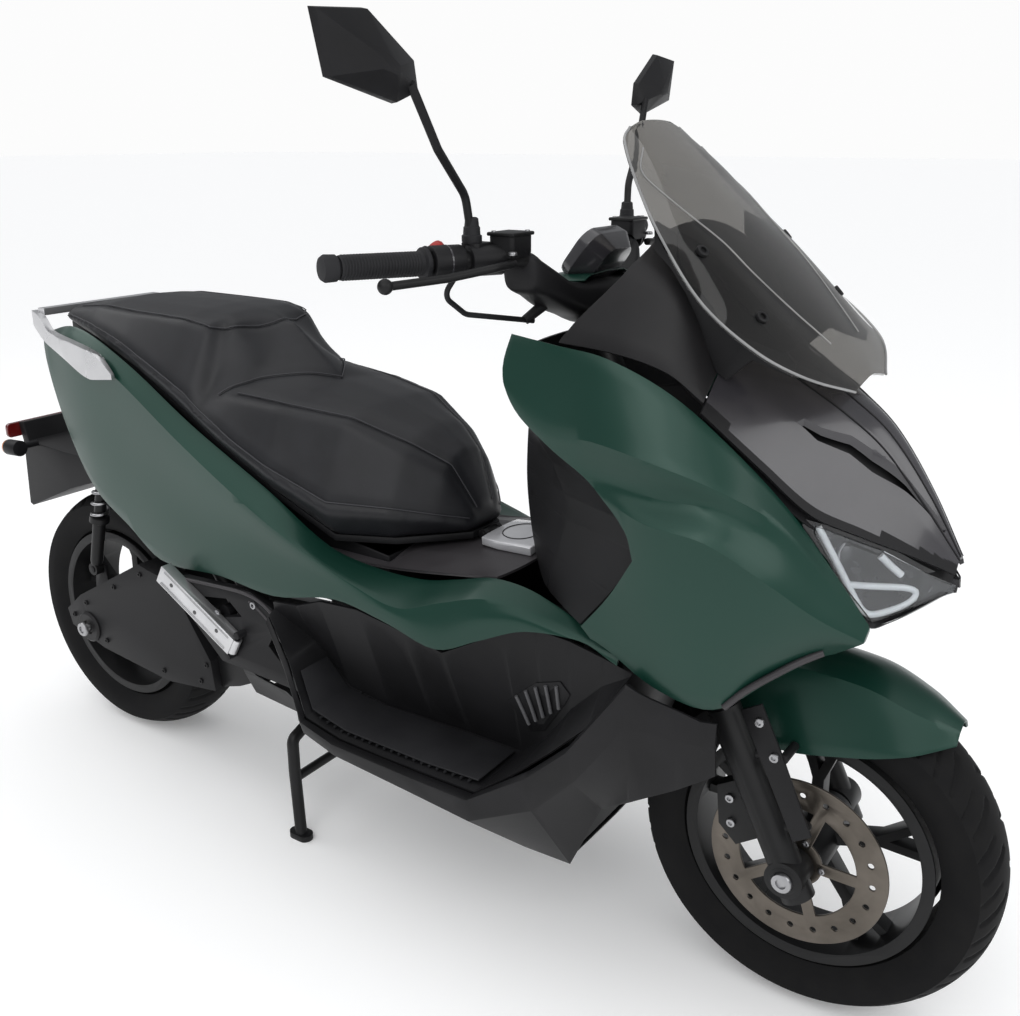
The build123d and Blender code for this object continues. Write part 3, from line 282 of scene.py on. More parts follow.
def tone_and_grain(
    name, dark, light, rough, grain=900.0, depth=0.00012, strength=0.25, mottle=14.0, metallic=0.0,
    coat=0.0, coat_rough=0.08, specular=0.5,
):
    """A moulded, cast or painted skin: two close tones in soft patches, uneven gloss and a fine grain."""
    made, links, shader = new_finish(name)
    place = made.new("ShaderNodeTexCoord")
    patches = made.new("ShaderNodeTexNoise")
    set_inputs(patches, Scale=mottle, Detail=4)
    tones = made.new("ShaderNodeValToRGB")
    tones.color_ramp.elements[0].position = 0.35
    tones.color_ramp.elements[1].position = 0.65
    tones.color_ramp.elements[0].color = (*dark, 1)
    tones.color_ramp.elements[1].color = (*light, 1)
    gloss = made.new("ShaderNodeMapRange")
    set_inputs(gloss, To_Min=rough[0], To_Max=rough[1])
    fine = made.new("ShaderNodeTexNoise")
    set_inputs(fine, Scale=grain, Detail=2)
    bump = made.new("ShaderNodeBump")
    set_inputs(bump, Strength=strength, Distance=depth)
    links.new(place.outputs["Object"], patches.inputs["Vector"])
    links.new(place.outputs["Object"], fine.inputs["Vector"])
    links.new(patches.outputs["Fac"], tones.inputs["Fac"])
    links.new(patches.outputs["Fac"], gloss.inputs["Value"])
    links.new(tones.outputs["Color"], shader.inputs["Base Color"])
    links.new(gloss.outputs["Result"], shader.inputs["Roughness"])
    links.new(fine.outputs["Fac"], bump.inputs["Height"])
    links.new(bump.outputs["Normal"], shader.inputs["Normal"])
    set_inputs(shader, Metallic=metallic, Coat_Weight=coat, Coat_Roughness=coat_rough, Specular_IOR_Level=specular)


def tinted_clear(name, tint, rough=(0.01, 0.04)):
    """Clear or tinted moulding, with faint polishing marks."""
    made, links, shader = new_finish(name)
    place = made.new("ShaderNodeTexCoord")
    wipe = made.new("ShaderNodeTexNoise")
    set_inputs(wipe, Scale=9)
    gloss = made.new("ShaderNodeMapRange")
    set_inputs(gloss, To_Min=rough[0], To_Max=rough[1])
    links.new(place.outputs["Object"], wipe.inputs["Vector"])
    links.new(wipe.outputs["Fac"], gloss.inputs["Value"])
    links.new(gloss.outputs["Result"], shader.inputs["Roughness"])
    set_inputs(shader, Base_Color=(*tint, 1), Transmission_Weight=1.0, IOR=1.49)


tone_and_grain(
    "green_paint", (0.005, 0.036, 0.0245), (0.0062, 0.041, 0.028), (0.34, 0.4), grain=2600, depth=0.00004,
    strength=0.18, mottle=3.0, metallic=0.3, coat=0.16, coat_rough=0.16, specular=0.35,
)
tone_and_grain(
    "black_plastic", (0.0072, 0.0071, 0.0078), (0.0102, 0.01, 0.0112), (0.44, 0.54), specular=0.22,
)
tone_and_grain(
    "grey_plastic", (0.036, 0.033, 0.036), (0.045, 0.042, 0.045), (0.4, 0.5), specular=0.35,
)
tone_and_grain(
    "dark_plastic", (0.012, 0.0116, 0.0124), (0.0158, 0.0152, 0.0162), (0.38, 0.48), specular=0.25,
)
tone_and_grain(
    "gloss_black", (0.03, 0.029, 0.033), (0.038, 0.036, 0.041), (0.22, 0.28), grain=1800, depth=0.00003,
    strength=0.1, coat=0.5, coat_rough=0.1,
)
tone_and_grain(
    "tyre_rubber", (0.0055, 0.0055, 0.006), (0.0085, 0.0083, 0.0085), (0.62, 0.78), grain=1100, depth=0.0002,
    strength=0.4, mottle=26, specular=0.12,
)
tone_and_grain(
    "soft_rubber", (0.0105, 0.0105, 0.0122), (0.015, 0.015, 0.017), (0.55, 0.68), grain=1500, specular=0.3,
)
tone_and_grain(
    "black_metal", (0.0068, 0.0068, 0.0072), (0.0098, 0.0098, 0.0104), (0.38, 0.48), grain=1500, specular=0.25,
)
tone_and_grain(
    "silver_alloy", (0.56, 0.56, 0.57), (0.64, 0.64, 0.65), (0.24, 0.34), grain=1200, metallic=0.85,
)
tone_and_grain("steel", (0.32, 0.32, 0.33), (0.42, 0.42, 0.43), (0.26, 0.38), grain=1200, metallic=1.0)
tone_and_grain(
    "disc_steel", (0.105, 0.092, 0.078), (0.165, 0.145, 0.125), (0.34, 0.48), grain=800, metallic=0.9,
)
tinted_clear("smoked_screen", (0.165, 0.158, 0.147))
tinted_clear("clear_lens", (0.93, 0.95, 0.97))
tone_and_grain(
    "mirror_glass", (0.82, 0.83, 0.85), (0.86, 0.87, 0.88), (0.02, 0.04), depth=0.00001, metallic=1.0,
)
tone_and_grain(
    "red_lens", (0.1, 0.006, 0.006), (0.16, 0.009, 0.009), (0.1, 0.16), depth=0.00003, coat=0.8,
)
tone_and_grain(
    "amber_lens", (0.55, 0.17, 0.02), (0.68, 0.24, 0.03), (0.14, 0.2), depth=0.00003, coat=0.8,
)
tone_and_grain(
    "white_cap", (0.52, 0.52, 0.54), (0.62, 0.62, 0.64), (0.14, 0.2), depth=0.00003, coat=0.6, metallic=0.3,
)
tone_and_grain(
    "light_strip", (0.66, 0.68, 0.69), (0.76, 0.78, 0.79), (0.2, 0.28), depth=0.00003, coat=0.6,
)
tone_and_grain(
    "seat_vinyl", (0.0068, 0.007, 0.0088), (0.01, 0.0103, 0.0128), (0.4, 0.52), grain=1400,
    depth=0.00025, strength=0.5, mottle=30, specular=0.36,
)
tone_and_grain("battery_case", (0.04, 0.04, 0.042), (0.05, 0.05, 0.052), (0.5, 0.6))

# light grey for the beads on the screen's edge and fold: painted highlight
tone_and_grain("screen_edge_highlight", (0.2, 0.2, 0.2), (0.28, 0.28, 0.28), (0.12, 0.2), depth=0.00002, coat=0.5)
# near black for the lamp wells, and for the dark discs on the pegs that paint the shade inside each hole
tone_and_grain("lamp_dark_and_hole_shade", (0.01, 0.01, 0.011), (0.022, 0.022, 0.024), (0.18, 0.26), mottle=60, coat=0.4)
tone_and_grain("slat_grey", (0.085, 0.085, 0.09), (0.105, 0.105, 0.11), (0.4, 0.5), specular=0.4)
tone_and_grain("red_button", (0.3, 0.016, 0.012), (0.38, 0.022, 0.016), (0.25, 0.35), depth=0.00003)
tone_and_grain(
    "display_glass", (0.006, 0.006, 0.007), (0.009, 0.009, 0.01), (0.04, 0.08), depth=0.00001, coat=0.6,
)
tone_and_grain(
    "projector_glass", (0.014, 0.015, 0.018), (0.02, 0.021, 0.025), (0.03, 0.06), depth=0.00001, coat=1.0,
)
tone_and_grain("seam_thread", (0.02, 0.02, 0.024), (0.028, 0.028, 0.033), (0.5, 0.6), grain=2600)

slot_of_node = {row["node"]: row["material_slot"] for row in frame["record"]["subparts"]}


def finish_cad_pieces():
    """Every CAD piece gets its own finish; those with moulded edges get an eased copy."""
    as_made = {"clear_lens", "mirror_glass"}
    for node, piece in nodes.items():
        slot = slot_of_node[node]
        piece.data.materials.clear()
        piece.data.materials.append(finishes[slot])
    for node in sorted(nodes):
        slot = slot_of_node[node]
        if slot in as_made or node in own_pieces:
            continue
        if node in drawn:
            hang_on(drawn_smooth(node, **drawn[node]), node, slot)
        else:
            slot = shown_slot.get(node, slot)
            hang_on(eased_copy(node, edge=edge_of.get(node, 0.0015)), node, slot)


# nodes whose shown piece is made further down
own_pieces = {
    "front_tyre", "rear_tyre", "grips", "rear_shocks", "seat_cushion", "front_panels", "rear_panels", "nose_panel",
    "dash_cowl", "windshield", "front_fender", "handlebar_cover",
}
# lofted nodes drawn into curves
drawn = {
    "tunnel_cover": dict(sharp=24, soft=10), "leg_shield": dict(sharp=30, soft=16),
    "grab_rail": dict(sharp=60, soft=35),
}
# widths of eased edges other than the usual one, and slots other than the record's
edge_of = {"mirrors": 0.004, "display": 0.003, "pillion_peg_right": 0.0035, "pillion_peg_left": 0.0035}
shown_slot = {"rear_indicators": "black_plastic", "belly_panels": "black_plastic"}


# ---------------------------------------------------------------- shaped pieces
def mesh_piece(name, points, faces=(), edges=()):
    """A mesh of its own, to be worked on in edit mode."""
    rest()
    shape = bpy.data.meshes.new(name)
    shape.from_pydata([tuple(point) for point in points], list(edges), list(faces))
    return pick(added(name, shape))


def tidy_mesh(piece, merge=0.00002):
    """Doubles merged and every face turned outwards."""
    pick(piece)
    edit_all()
    bpy.ops.mesh.remove_doubles(threshold=merge)
    bpy.ops.mesh.normals_make_consistent(inside=False)
    bpy.ops.object.mode_set(mode="OBJECT")
    return piece


def axis_frame(start, end):
    """Turn that takes the upright Z to the run from start to end."""
    run = Vector(end) - Vector(start)
    return run.to_track_quat("Z", "Y").to_matrix().to_4x4(), run.length


def turned(name, start, end, profile, steps=40):
    """A lathe-turned piece: profile gives (share of the run, radius) pairs from start to end."""
    turn, length = axis_frame(start, end)
    points = [(radius, 0, share * length) for share, radius in profile]
    piece = mesh_piece(name, points, edges=[(i, i + 1) for i in range(len(points) - 1)])
    edit_all()
    bpy.ops.mesh.spin(steps=steps, angle=2 * pi, center=(0, 0, 0), axis=(0, 0, 1))
    bpy.ops.object.mode_set(mode="OBJECT")
    tidy_mesh(piece)
    piece.matrix_world = Matrix.Translation(Vector(start)) @ turn
    return soften(set_in_place(piece), 35)


def joined(name, pieces):
    """Several pieces made one."""
    rest()
    for piece in pieces:
        piece.select_set(True)
    bpy.context.view_layer.objects.active = pieces[0]
    if len(pieces) > 1:
        bpy.ops.object.join()
    pieces[0].name = name
    return pieces[0]


def copy_of(piece, matrix):
    """Another of the same, with its own mesh, set in place."""
    pick(piece)
    bpy.ops.object.duplicate()
    twin = bpy.context.object
    twin.data = twin.data.copy() if twin.data.users > 1 else twin.data
    twin.matrix_world = matrix @ twin.matrix_world
    return set_in_place(twin)


def mirrored_pair(name, piece):
    """The piece and its twin across the middle, as one."""
    twin = copy_of(piece, Matrix.Scale(-1, 4, (0, 1, 0)))
    tidy_mesh(twin)
    return joined(name, [piece, twin])


def rounded_block(name, size, place, radius=0.002, turn=None, segments=3):
    """A block with eased edges."""
    rest()
    bpy.ops.mesh.primitive_cube_add(size=1)
    piece = bpy.context.object
    piece.name = name
    piece.scale = size
    set_in_place(piece)
    apply_modifier(piece, "BEVEL", width=radius, segments=segments)
    piece.matrix_world = Matrix.Translation(Vector(place)) @ (turn or Matrix.Identity(4))
    return soften(set_in_place(piece), 35)


def tile(name, corners, depth, edge=0.0008):
    """A thin moulding on a run of corners, thickened behind its face."""
    piece = mesh_piece(name, corners, faces=[tuple(range(len(corners)))])
    apply_modifier(piece, "SOLIDIFY", thickness=depth, offset=0)
    tidy_mesh(piece)
    apply_modifier(piece, "BEVEL", width=edge, segments=2, limit_method="ANGLE")
    return soften(piece, 35)


def wire(name, points, radius, closed=False, smooth=True, sides=3):
    """A round wire or bead through points."""
    rest()
    line = bpy.data.curves.new(name, "CURVE")
    line.dimensions = "3D"
    line.bevel_depth = radius
    line.bevel_resolution = sides
    line.resolution_u = 6
    line.use_fill_caps = True
    spline = line.splines.new("NURBS" if smooth else "POLY")
    spline.points.add(len(points) - 1)
    for knot, point in zip(spline.points, points):
        knot.co = (*point, 1)
    if smooth:
        spline.order_u = 3
        spline.use_endpoint_u = not closed
    spline.use_cyclic_u = closed
    pick(added(name, line))
    bpy.ops.object.convert(target="MESH")
    piece = bpy.context.object
    tidy_mesh(piece)
    return soften(piece, 50)


def screws(name, spots, radius, height):
    """Socket screws alike on one piece: spots are (place, outward direction) pairs."""
    made_pieces = []
    for place, outward in spots:
        place, outward = Vector(place), Vector(outward).normalized()
        if not made_pieces:
            profile = [
                (0, radius * 1.02), (0.55, radius * 1.02), (0.9, radius * 0.94), (1, radius * 0.8),
                (1, radius * 0.52), (0.45, radius * 0.5), (0.4, 0),
            ]
            first = turned(name, place, place + outward * height, profile, steps=18)
            made_pieces.append(first)
            first_place, first_turn = place, axis_frame((0, 0, 0), outward)[0]
        else:
            shift = (
                Matrix.Translation(place) @ axis_frame((0, 0, 0), outward)[0]
                @ first_turn.inverted() @ Matrix.Translation(-first_place)
            )
            made_pieces.append(copy_of(first, shift))
    return joined(name, made_pieces)


def both_sides(spots):
    """The same spots on the left as well."""
    return spots + [((x, -y, z), (u, -v, w)) for (x, y, z), (u, v, w) in spots]


def add_on(piece, node, finish):
    """A piece that goes on top of what a node already shows."""
    return hang_on(piece, node, finish, replaces=False)


# ---------------------------------------------------------------- places on a surface
surface_trees = {}


def tree_of(piece):
    if piece.name not in surface_trees:
        shape = bmesh.new()
        shape.from_mesh(piece.data)
        surface_trees[piece.name] = BVHTree.FromBMesh(shape)
        shape.free()
    return surface_trees[piece.name]


def surface_at(node, x, z, from_y, side):
    """How far a CAD piece's outer face lies from the middle, at a station and height on one side."""
    hit = tree_of(nodes[node]).ray_cast(Vector((x, side * from_y, z)), Vector((0, -side, 0)))
    return abs(hit[0].y) if hit[0] else from_y


def top_at(piece, x, y, from_z=1.3):
    """Height of a piece's upper face at a place seen from above."""
    hit = tree_of(piece).ray_cast(Vector((x, y, from_z)), Vector((0, 0, -1)))
    return hit[0].z if hit[0] else None


# ---------------------------------------------------------------- moulded skins
def smooth_run(points, steps, crisp=None):
    """A curve through the points; each keeps as much of its corner as crisp says, from 0 to 1."""
    crisp = crisp or [0] * len(points)
    filled = []
    last = len(points) - 1
    for i in range(last):
        start, end = points[i], points[i + 1]
        run = end - start
        leave = arrive = run
        if i > 0:
            before = start - points[i - 1]
            share = run.length / max(1e-9, run.length + before.length)
            leave = run.lerp((end - points[i - 1]) * share, 1 - crisp[i])
        if i + 1 < last:
            after = points[i + 2] - end
            share = run.length / max(1e-9, run.length + after.length)
            arrive = run.lerp((points[i + 2] - start) * share, 1 - crisp[i + 1])
        for step in range(steps):
            t = step / steps
            filled.append(
                start * (2 * t ** 3 - 3 * t ** 2 + 1) + leave * (t ** 3 - 2 * t ** 2 + t)
                + end * (3 * t ** 2 - 2 * t ** 3) + arrive * (t ** 3 - t ** 2)
            )
    return filled + [points[-1]]


def line_of(stations, i=-1):
    """One line along the stations, in metres on the right side; the last is the skin's edge."""
    return [Vector((x, -edge[i][0], edge[i][1])) / 1000 for x, edge in stations]


def moulded_skin(name, stations, folds, wall=0.004, arched=False, steps=(6, 5)):
    """A skin through stations (x, half widths and heights down the side); folds tells each line's crispness."""
    lines = []
    for i in range(len(folds)):
        lines.append(smooth_run(line_of(stations, i), steps[0]))
    rows = []
    for spots in zip(*lines):
        row, crisp = list(spots), list(folds)
        if arched:
            row = [Vector((spot.x, -spot.y, spot.z)) for spot in reversed(row[1:])] + row
            crisp = crisp[:0:-1] + crisp
        rows.append(smooth_run(row, steps[1], crisp))
    across = len(rows[0])
    faces = [
        (r * across + c, r * across + c + 1, (r + 1) * across + c + 1, (r + 1) * across + c)
        for r in range(len(rows) - 1) for c in range(across - 1)
    ]
    piece = mesh_piece(name, [spot for row in rows for spot in row], faces)
    apply_modifier(piece, "SOLIDIFY", thickness=wall, offset=-1, use_even_offset=True)
    return tidy_mesh(piece)


def prism(corners, along):
    """A straight block on a flat outline, to cut with."""
    block = mesh_piece("cutter", corners, [tuple(range(len(corners)))])
    edit_all()
    bpy.ops.mesh.extrude_region_move(TRANSFORM_OT_translate={"value": along})
    bpy.ops.object.mode_set(mode="OBJECT")
    return tidy_mesh(block)


def side_block(outline, steps=5):
    """A cutting block across the whole width with a side view's outline; its gentle turns are rounded."""
    loop = [Vector((x, 0, z)) / 1000 for x, z in outline]
    around = loop[-1:] + loop + loop[:2]
    crisp = [0] + [
        1.0 if (b - a).angle(c - b) > radians(38) else 0.0 for a, b, c in zip(around, around[1:], around[2:])
    ] + [0]
    curve = smooth_run(around, steps, crisp)[steps:-steps]
    return prism([(p.x, -0.6, p.z) for p in curve[:-1]], (0, 1.2, 0))


def carve(piece, block, operation="INTERSECT"):
    """Keeps or takes away what lies inside a block."""
    apply_modifier(piece, "BOOLEAN", operation=operation, object=block, solver="EXACT", use_self=True)
    rest()
    block.select_set(True)
    bpy.ops.object.delete()
    return piece


def ease_rim(piece, width=0.001, angle=50, smooth=28):
    apply_modifier(
        piece, "BEVEL", width=width, segments=2, limit_method="ANGLE", angle_limit=radians(angle),
        use_clamp_overlap=True,
    )
    return soften(piece, smooth)


front_side = [
    # station, half width and height down the side: rim, shoulder, hollow, crest, flank, lower rim
    (300, [(168, 905), (190, 858), (194, 800), (197, 740), (196, 640), (192, 560)]),
    (380, [(182, 899), (207, 800), (203, 764), (205, 716), (202, 630), (196, 550)]),
    (450, [(188, 892), (219, 801), (206, 757), (210, 733), (206, 630), (196, 541)]),
    (530, [(180, 858), (226, 790), (213, 746), (233, 720), (214, 600), (188, 496)]),
    (600, [(162, 801), (210, 768), (206, 742), (231, 712), (206, 590), (174, 482)]),
    (660, [(138, 736), (166, 725), (176, 704), (204, 672), (182, 590), (146, 526)]),
    (710, [(115, 665), (128, 656), (140, 642), (158, 622), (146, 592), (122, 561)]),
    (756, [(97, 596), (101, 592), (106, 588), (110, 584), (108, 580), (104, 576)]),
]
front_outline = [
    (306, 865), (330, 819), (380, 785), (450, 742), (499, 703), (510, 669), (472, 610), (430, 557),
    (455, 533), (530, 494), (588, 472), (622, 490), (674, 532), (722, 566), (752, 586), (752, 640),
    (640, 900), (310, 920),
]
rear_side = [
    # station, half width and height down the side: rim, bright crease, hollow, lower rim
    (-736, [(103, 800), (112, 796), (116, 760), (114, 700)]),
    (-610, [(131, 823), (146, 806), (142, 640), (131, 500)]),
    (-464, [(151, 783), (170, 757), (158, 600), (148, 440)]),
    (-300, [(163, 702), (187, 675), (172, 545), (172, 430)]),
    (-128, [(171, 625), (200, 595), (190, 535), (196, 440)]),
    (-20, [(161, 557), (204, 555), (202, 528), (204, 470)]),
    (60, [(147, 535), (206, 530), (207, 515), (205, 480)]),
    (140, [(142, 534), (203, 512), (207, 500), (202, 462)]),
    (206, [(144, 550), (186, 530), (199, 486), (197, 446)]),
    (268, [(148, 567), (180, 548), (192, 520), (191, 480)]),
    (340, [(152, 562), (176, 548), (187, 536), (187, 512)]),
    (475, [(176, 524), (180, 520), (184, 512), (186, 500)]),
]
rear_outline = [
    (-736, 795), (-707, 679), (-658, 590), (-602, 531), (-516, 490), (-421, 446), (-249, 464),
    (-110, 468), (25, 498), (123, 485), (202, 464), (268, 491), (340, 522), (419, 528), (480, 508),
    (484, 600), (0, 720),
    (-500, 860), (-736, 860),
]
nose_side = [
    # half width and height from the middle out: middle, inner ridge, outer ridge, edge
    (562, [(0, 922), (60, 912), (120, 884), (170, 840)]),
    (628, [(0, 884), (56, 868), (100, 836), (150, 781)]),
    (682, [(0, 850), (48, 834), (76, 799), (126, 730)]),
    (730, [(0, 812), (36, 794), (52, 766), (97, 706)]),
    (781, [(0, 744), (22, 728), (34, 715), (58, 680)]),
    (822, [(0, 672), (8, 668), (14, 663), (22, 655)]),
]
nose_slot = [
    (645, -92), (668, -85), (700, -65), (724, -55), (760, -35), (802, -13),
    (803, -8), (757, -27), (721, -45), (697, -55), (668, -74), (650, -83),
]
cowl_side = [
    (366, [(0, 1050), (90, 1040), (135, 1004), (175, 902)]),
    (460, [(0, 1036), (90, 1026), (135, 992), (178, 896)]),
    (520, [(0, 1004), (90, 990), (138, 956), (172, 880)]),
    (561, [(0, 928), (90, 907), (130, 878), (163, 850)]),
]
screen_side = [
    (406, [(0, 1151), (40, 1149), (66, 1142)]),
    (412, [(0, 1146), (54, 1142), (90, 1128)]),
    (456, [(0, 1108), (90, 1097), (130, 1072)]),
    (504, [(0, 1064), (106, 1048), (162, 1020)]),
    (561, [(0, 1010), (110, 998), (178, 960)]),
    (625, [(0, 948), (104, 938), (174, 914)]),
    (668, [(0, 906), (80, 899), (140, 886)]),
    (698, [(0, 870), (30, 866), (60, 860)]),
]


def over_tyre(x):
    """Height of the fender's middle at a station, on a circle about the front axle."""
    return 242 + math.sqrt(273 ** 2 - (x - 687.5) ** 2)


fender_side = [
    (552, [(0, over_tyre(552)), (46, over_tyre(552) - 12), (71, 425)]),
    (640, [(0, over_tyre(640)), (48, over_tyre(640) - 12), (75, 396)]),
    (740, [(0, over_tyre(740)), (47, over_tyre(740) - 12), (73, 412)]),
    (805, [(0, over_tyre(805)), (40, over_tyre(805) - 12), (63, 430)]),
    (852, [(0, over_tyre(852) + 2), (18, over_tyre(852) - 3), (30, 444)]),
]


def dress_side_panels():
    front = moulded_skin("front_skin", front_side, [1, 0.85, 0.15, 0.6, 0.1, 1])
    front = ease_rim(carve(front, side_block(front_outline)))
    hang_on(mirrored_pair("front_skins", front), "front_panels", "green_paint")
    lower_edge = [
        (0.613, 0.1705, 0.488), (0.626, 0.1685, 0.504), (0.64, 0.1665, 0.519), (0.666, 0.156, 0.54),
        (0.692, 0.143, 0.56), (0.712, 0.13, 0.57),
    ]
    trims = [wire("edge_trim", [(x, side * y, z) for x, y, z in lower_edge], 0.0045, sides=3) for side in (-1, 1)]
    add_on(joined("edge_trims", trims), "front_panels", "grey_plastic")
    rear = moulded_skin("rear_skin", rear_side, [1, 0.8, 0.1, 1])
    rear = ease_rim(carve(rear, side_block(rear_outline)))
    hang_on(mirrored_pair("rear_skins", rear), "rear_panels", "green_paint")


def dress_nose_panel():
    """The nose with its dull border, slots, seams and the liner behind it."""
    nose = moulded_skin("nose_skin", nose_side, [0.0, 0.8, 0.8, 1], wall=0.005, arched=True, steps=(12, 8))
    nose.data.materials.append(finishes["gloss_black"])
    nose.data.materials.append(finishes["black_plastic"])
    rim = smooth_run(line_of(nose_side), 40)
    near_rim = KDTree(len(rim))
    for i, spot in enumerate(rim):
        near_rim.insert(spot, i)
    near_rim.balance()
    border_width = 0.0125
    for face in nose.data.polygons:
        middle = face.center
        if near_rim.find((middle.x, -abs(middle.y), middle.z))[2] < border_width:
            face.material_index = 1
    for side in (-1, 1):
        corners = [(x / 1000, side * y / 1000, 0.6) for x, y in nose_slot]
        nose = carve(nose, prism(corners, (0, 0, 0.4)), "DIFFERENCE")
    ease_rim(nose)
    seams = []
    for side in (-1, 1):
        for share, begin in ((1.0, 0), (0.42, 1)):
            run = [Vector((x, side * edge[1][0] * share, 0)) / 1000 for x, edge in nose_side[begin:]]
            spots = []
            for spot in smooth_run(run, 8):
                height = top_at(nose, spot.x, spot.y)
                if height:
                    spots.append((spot.x, spot.y, height + 0.0002))
            seams.append(wire("nose_seam", spots, 0.0011, sides=2))
    add_on(joined("nose_seams", seams), "nose_panel", "black_plastic")
    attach(nose, body_of_node["nose_panel"])
    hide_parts("nose_panel")
    within = [(x - 4, [(max(0, y - 7), z - 16) for y, z in edge]) for x, edge in nose_side]
    liner = moulded_skin("nose_liner", within, [0.0, 0.8, 0.8, 1], wall=0.002, arched=True)
    add_on(soften(liner), "nose_panel", "black_plastic")


def dress_cowl():
    cowl = moulded_skin("cowl_skin", cowl_side, [0.0, 0.8, 0.8, 1], wall=0.006, arched=True)
    trim = [(372, 860), (380, 905), (455, 998), (470, 1060), (620, 1060), (620, 780)]
    hang_on(ease_rim(carve(cowl, side_block(trim))), "dash_cowl", "dark_plastic")


def dress_screen():
    """The screen with light grey lines along its edge and fold as painted highlight, and the pads behind its screws.
    """
    screen = moulded_skin("screen_skin", screen_side, [0.0, 0.3, 1], wall=0.004, arched=True, steps=(8, 7))
    lines = []
    edge = smooth_run(line_of(screen_side), 6)
    fold = smooth_run([Vector(spot) for spot in (
        (0.431, -0.08, 1.118), (0.4452, -0.108, 1.092), (0.4786, -0.1113, 1.0669), (0.5397, -0.0914, 1.0189),
        (0.5748, -0.0869, 0.9874), (0.6146, -0.0731, 0.951), (0.6614, -0.0503, 0.9082),
    )], 6)
    pad = [
        (0.5072, -0.1285, 1.0341), (0.5313, -0.1161, 1.0203), (0.5788, -0.11, 0.9812), (0.6258, -0.1, 0.9376),
        (0.6459, -0.1095, 0.9156), (0.6415, -0.1364, 0.9116), (0.6095, -0.1619, 0.9295), (0.5808, -0.1749, 0.9468),
        (0.5396, -0.1686, 0.9845), (0.5195, -0.1567, 1.0089),
    ]
    skin = tree_of(screen)
    pads, pad_depth = [], 0.0062
    for side in (-1, 1):
        # light grey beads along the edge and the fold: painted highlight
        for path, lift, radius in ((edge, 0.0, 0.0016), (fold, 0.0004, 0.0011)):
            spots = []
            for x, y, z in path:
                near = skin.find_nearest(Vector((x, -side * y, z)))
                spots.append(near[0] + near[1] * lift)
            lines.append(wire("screen_highlight_line", spots, radius, smooth=False, sides=2))
        inwards = Vector((-0.62, side * 0.3, -0.7)).normalized()
        corners = []
        middle = sum((Vector(spot) for spot in pad), Vector()) / len(pad)
        for x, y, z in pad + [tuple(middle)]:
            near = skin.find_nearest(Vector((x, -side * y, z)))
            corners.append(near[0] + inwards * pad_depth)
        count = len(pad)
        plate = mesh_piece("screen_pad", corners, [(k, (k + 1) % count, count) for k in range(count)])
        apply_modifier(plate, "SUBSURF", levels=1, render_levels=1, subdivision_type="SIMPLE")
        apply_modifier(plate, "SOLIDIFY", thickness=0.0018, offset=0)
        pads.append(tidy_mesh(plate))
    add_on(joined("screen_highlight_lines", lines), "windshield", "screen_edge_highlight")
    add_on(soften(joined("screen_pads", pads), 40), "windshield", "black_plastic")
    hang_on(soften(screen, 40), "windshield", "smoked_screen")


def dress_fender():
    fender = moulded_skin("fender_skin", fender_side, [0.1, 0.75, 1], arched=True, steps=(8, 6))
    hang_on(ease_rim(fender), "front_fender", "green_paint")


# ---------------------------------------------------------------- wheels
front_axle = (0.6875, 0.242)
rear_axle = (-0.6875, 0.243)
grooves = [
    # from and to as shares of the half width, place in the pitch, depth, half width and run of its slope in pitches
    (0.13, 0.9, 0.3, 0.0032, 0.075, 0.03),
    (0.42, 0.97, 0.8, 0.0026, 0.05, 0.025),
]


def treaded_tyre(node, centre, width, pitches):
    """A tyre with slanted grooves to both shoulders, rounded walls and raised wall ribs."""
    radius, half = centre[1], width / 2  # it stands on the floor
    tread_cuts, wall_cuts = 36, 11
    rim_line, shoulder_drop = 0.1725, 0.0215
    tread_half, steps_per_pitch = half * 0.985, 22
    around = pitches * steps_per_pitch
    profile = []
    for i in range(tread_cuts + 1):
        share = -1 + 2 * i / tread_cuts
        profile.append((share * tread_half, radius - shoulder_drop * abs(share) ** 2.2, 1.0))
    wall = []
    for i in range(1, wall_cuts + 1):
        share = i / wall_cuts
        bulge = sin(share * pi) * 0.0055
        y = tread_half - share * 0.0115 + bulge
        reach = radius - shoulder_drop - share * (radius - shoulder_drop - rim_line)
        if i in (3, 4):
            y += 0.0006
        wall.append((min(y, half), reach, 0.0))
    ring = [(-y, reach, cut) for y, reach, cut in reversed(wall)] + profile + wall
    points, faces = [], []
    across = len(ring)
    for turn in range(around):
        angle = 2 * pi * turn / around
        for y, reach, cut in ring:
            depth = 0.0
            if cut:
                side = 1 if y >= 0 else -1
                lead = abs(y) / half
                phase = (turn / steps_per_pitch + 0.5 * (side > 0) + 0.62 * lead) % 1.0
                for inner, outer, place, deepest, half_wide, slope in grooves:
                    if inner < lead < outer:
                        nearest = min(abs(phase - place), 1 - abs(phase - place))
                        depth = max(depth, deepest * max(0.0, min(1.0, (half_wide - nearest) / slope)))
            r = reach - depth
            points.append((centre[0] + r * cos(angle), y, centre[1] + r * sin(angle)))
    for turn in range(around):
        following = (turn + 1) % around
        for i in range(across - 1):
            a, b = turn * across + i, turn * across + i + 1
            faces.append((a, b, following * across + i + 1, following * across + i))
        first, last = turn * across, turn * across + across - 1
        faces.append((first, following * across, following * across + across - 1, last))
    piece = mesh_piece(node + "_treaded", points, faces)
    tidy_mesh(piece)
    return hang_on(soften(piece, 38), node, "tyre_rubber")


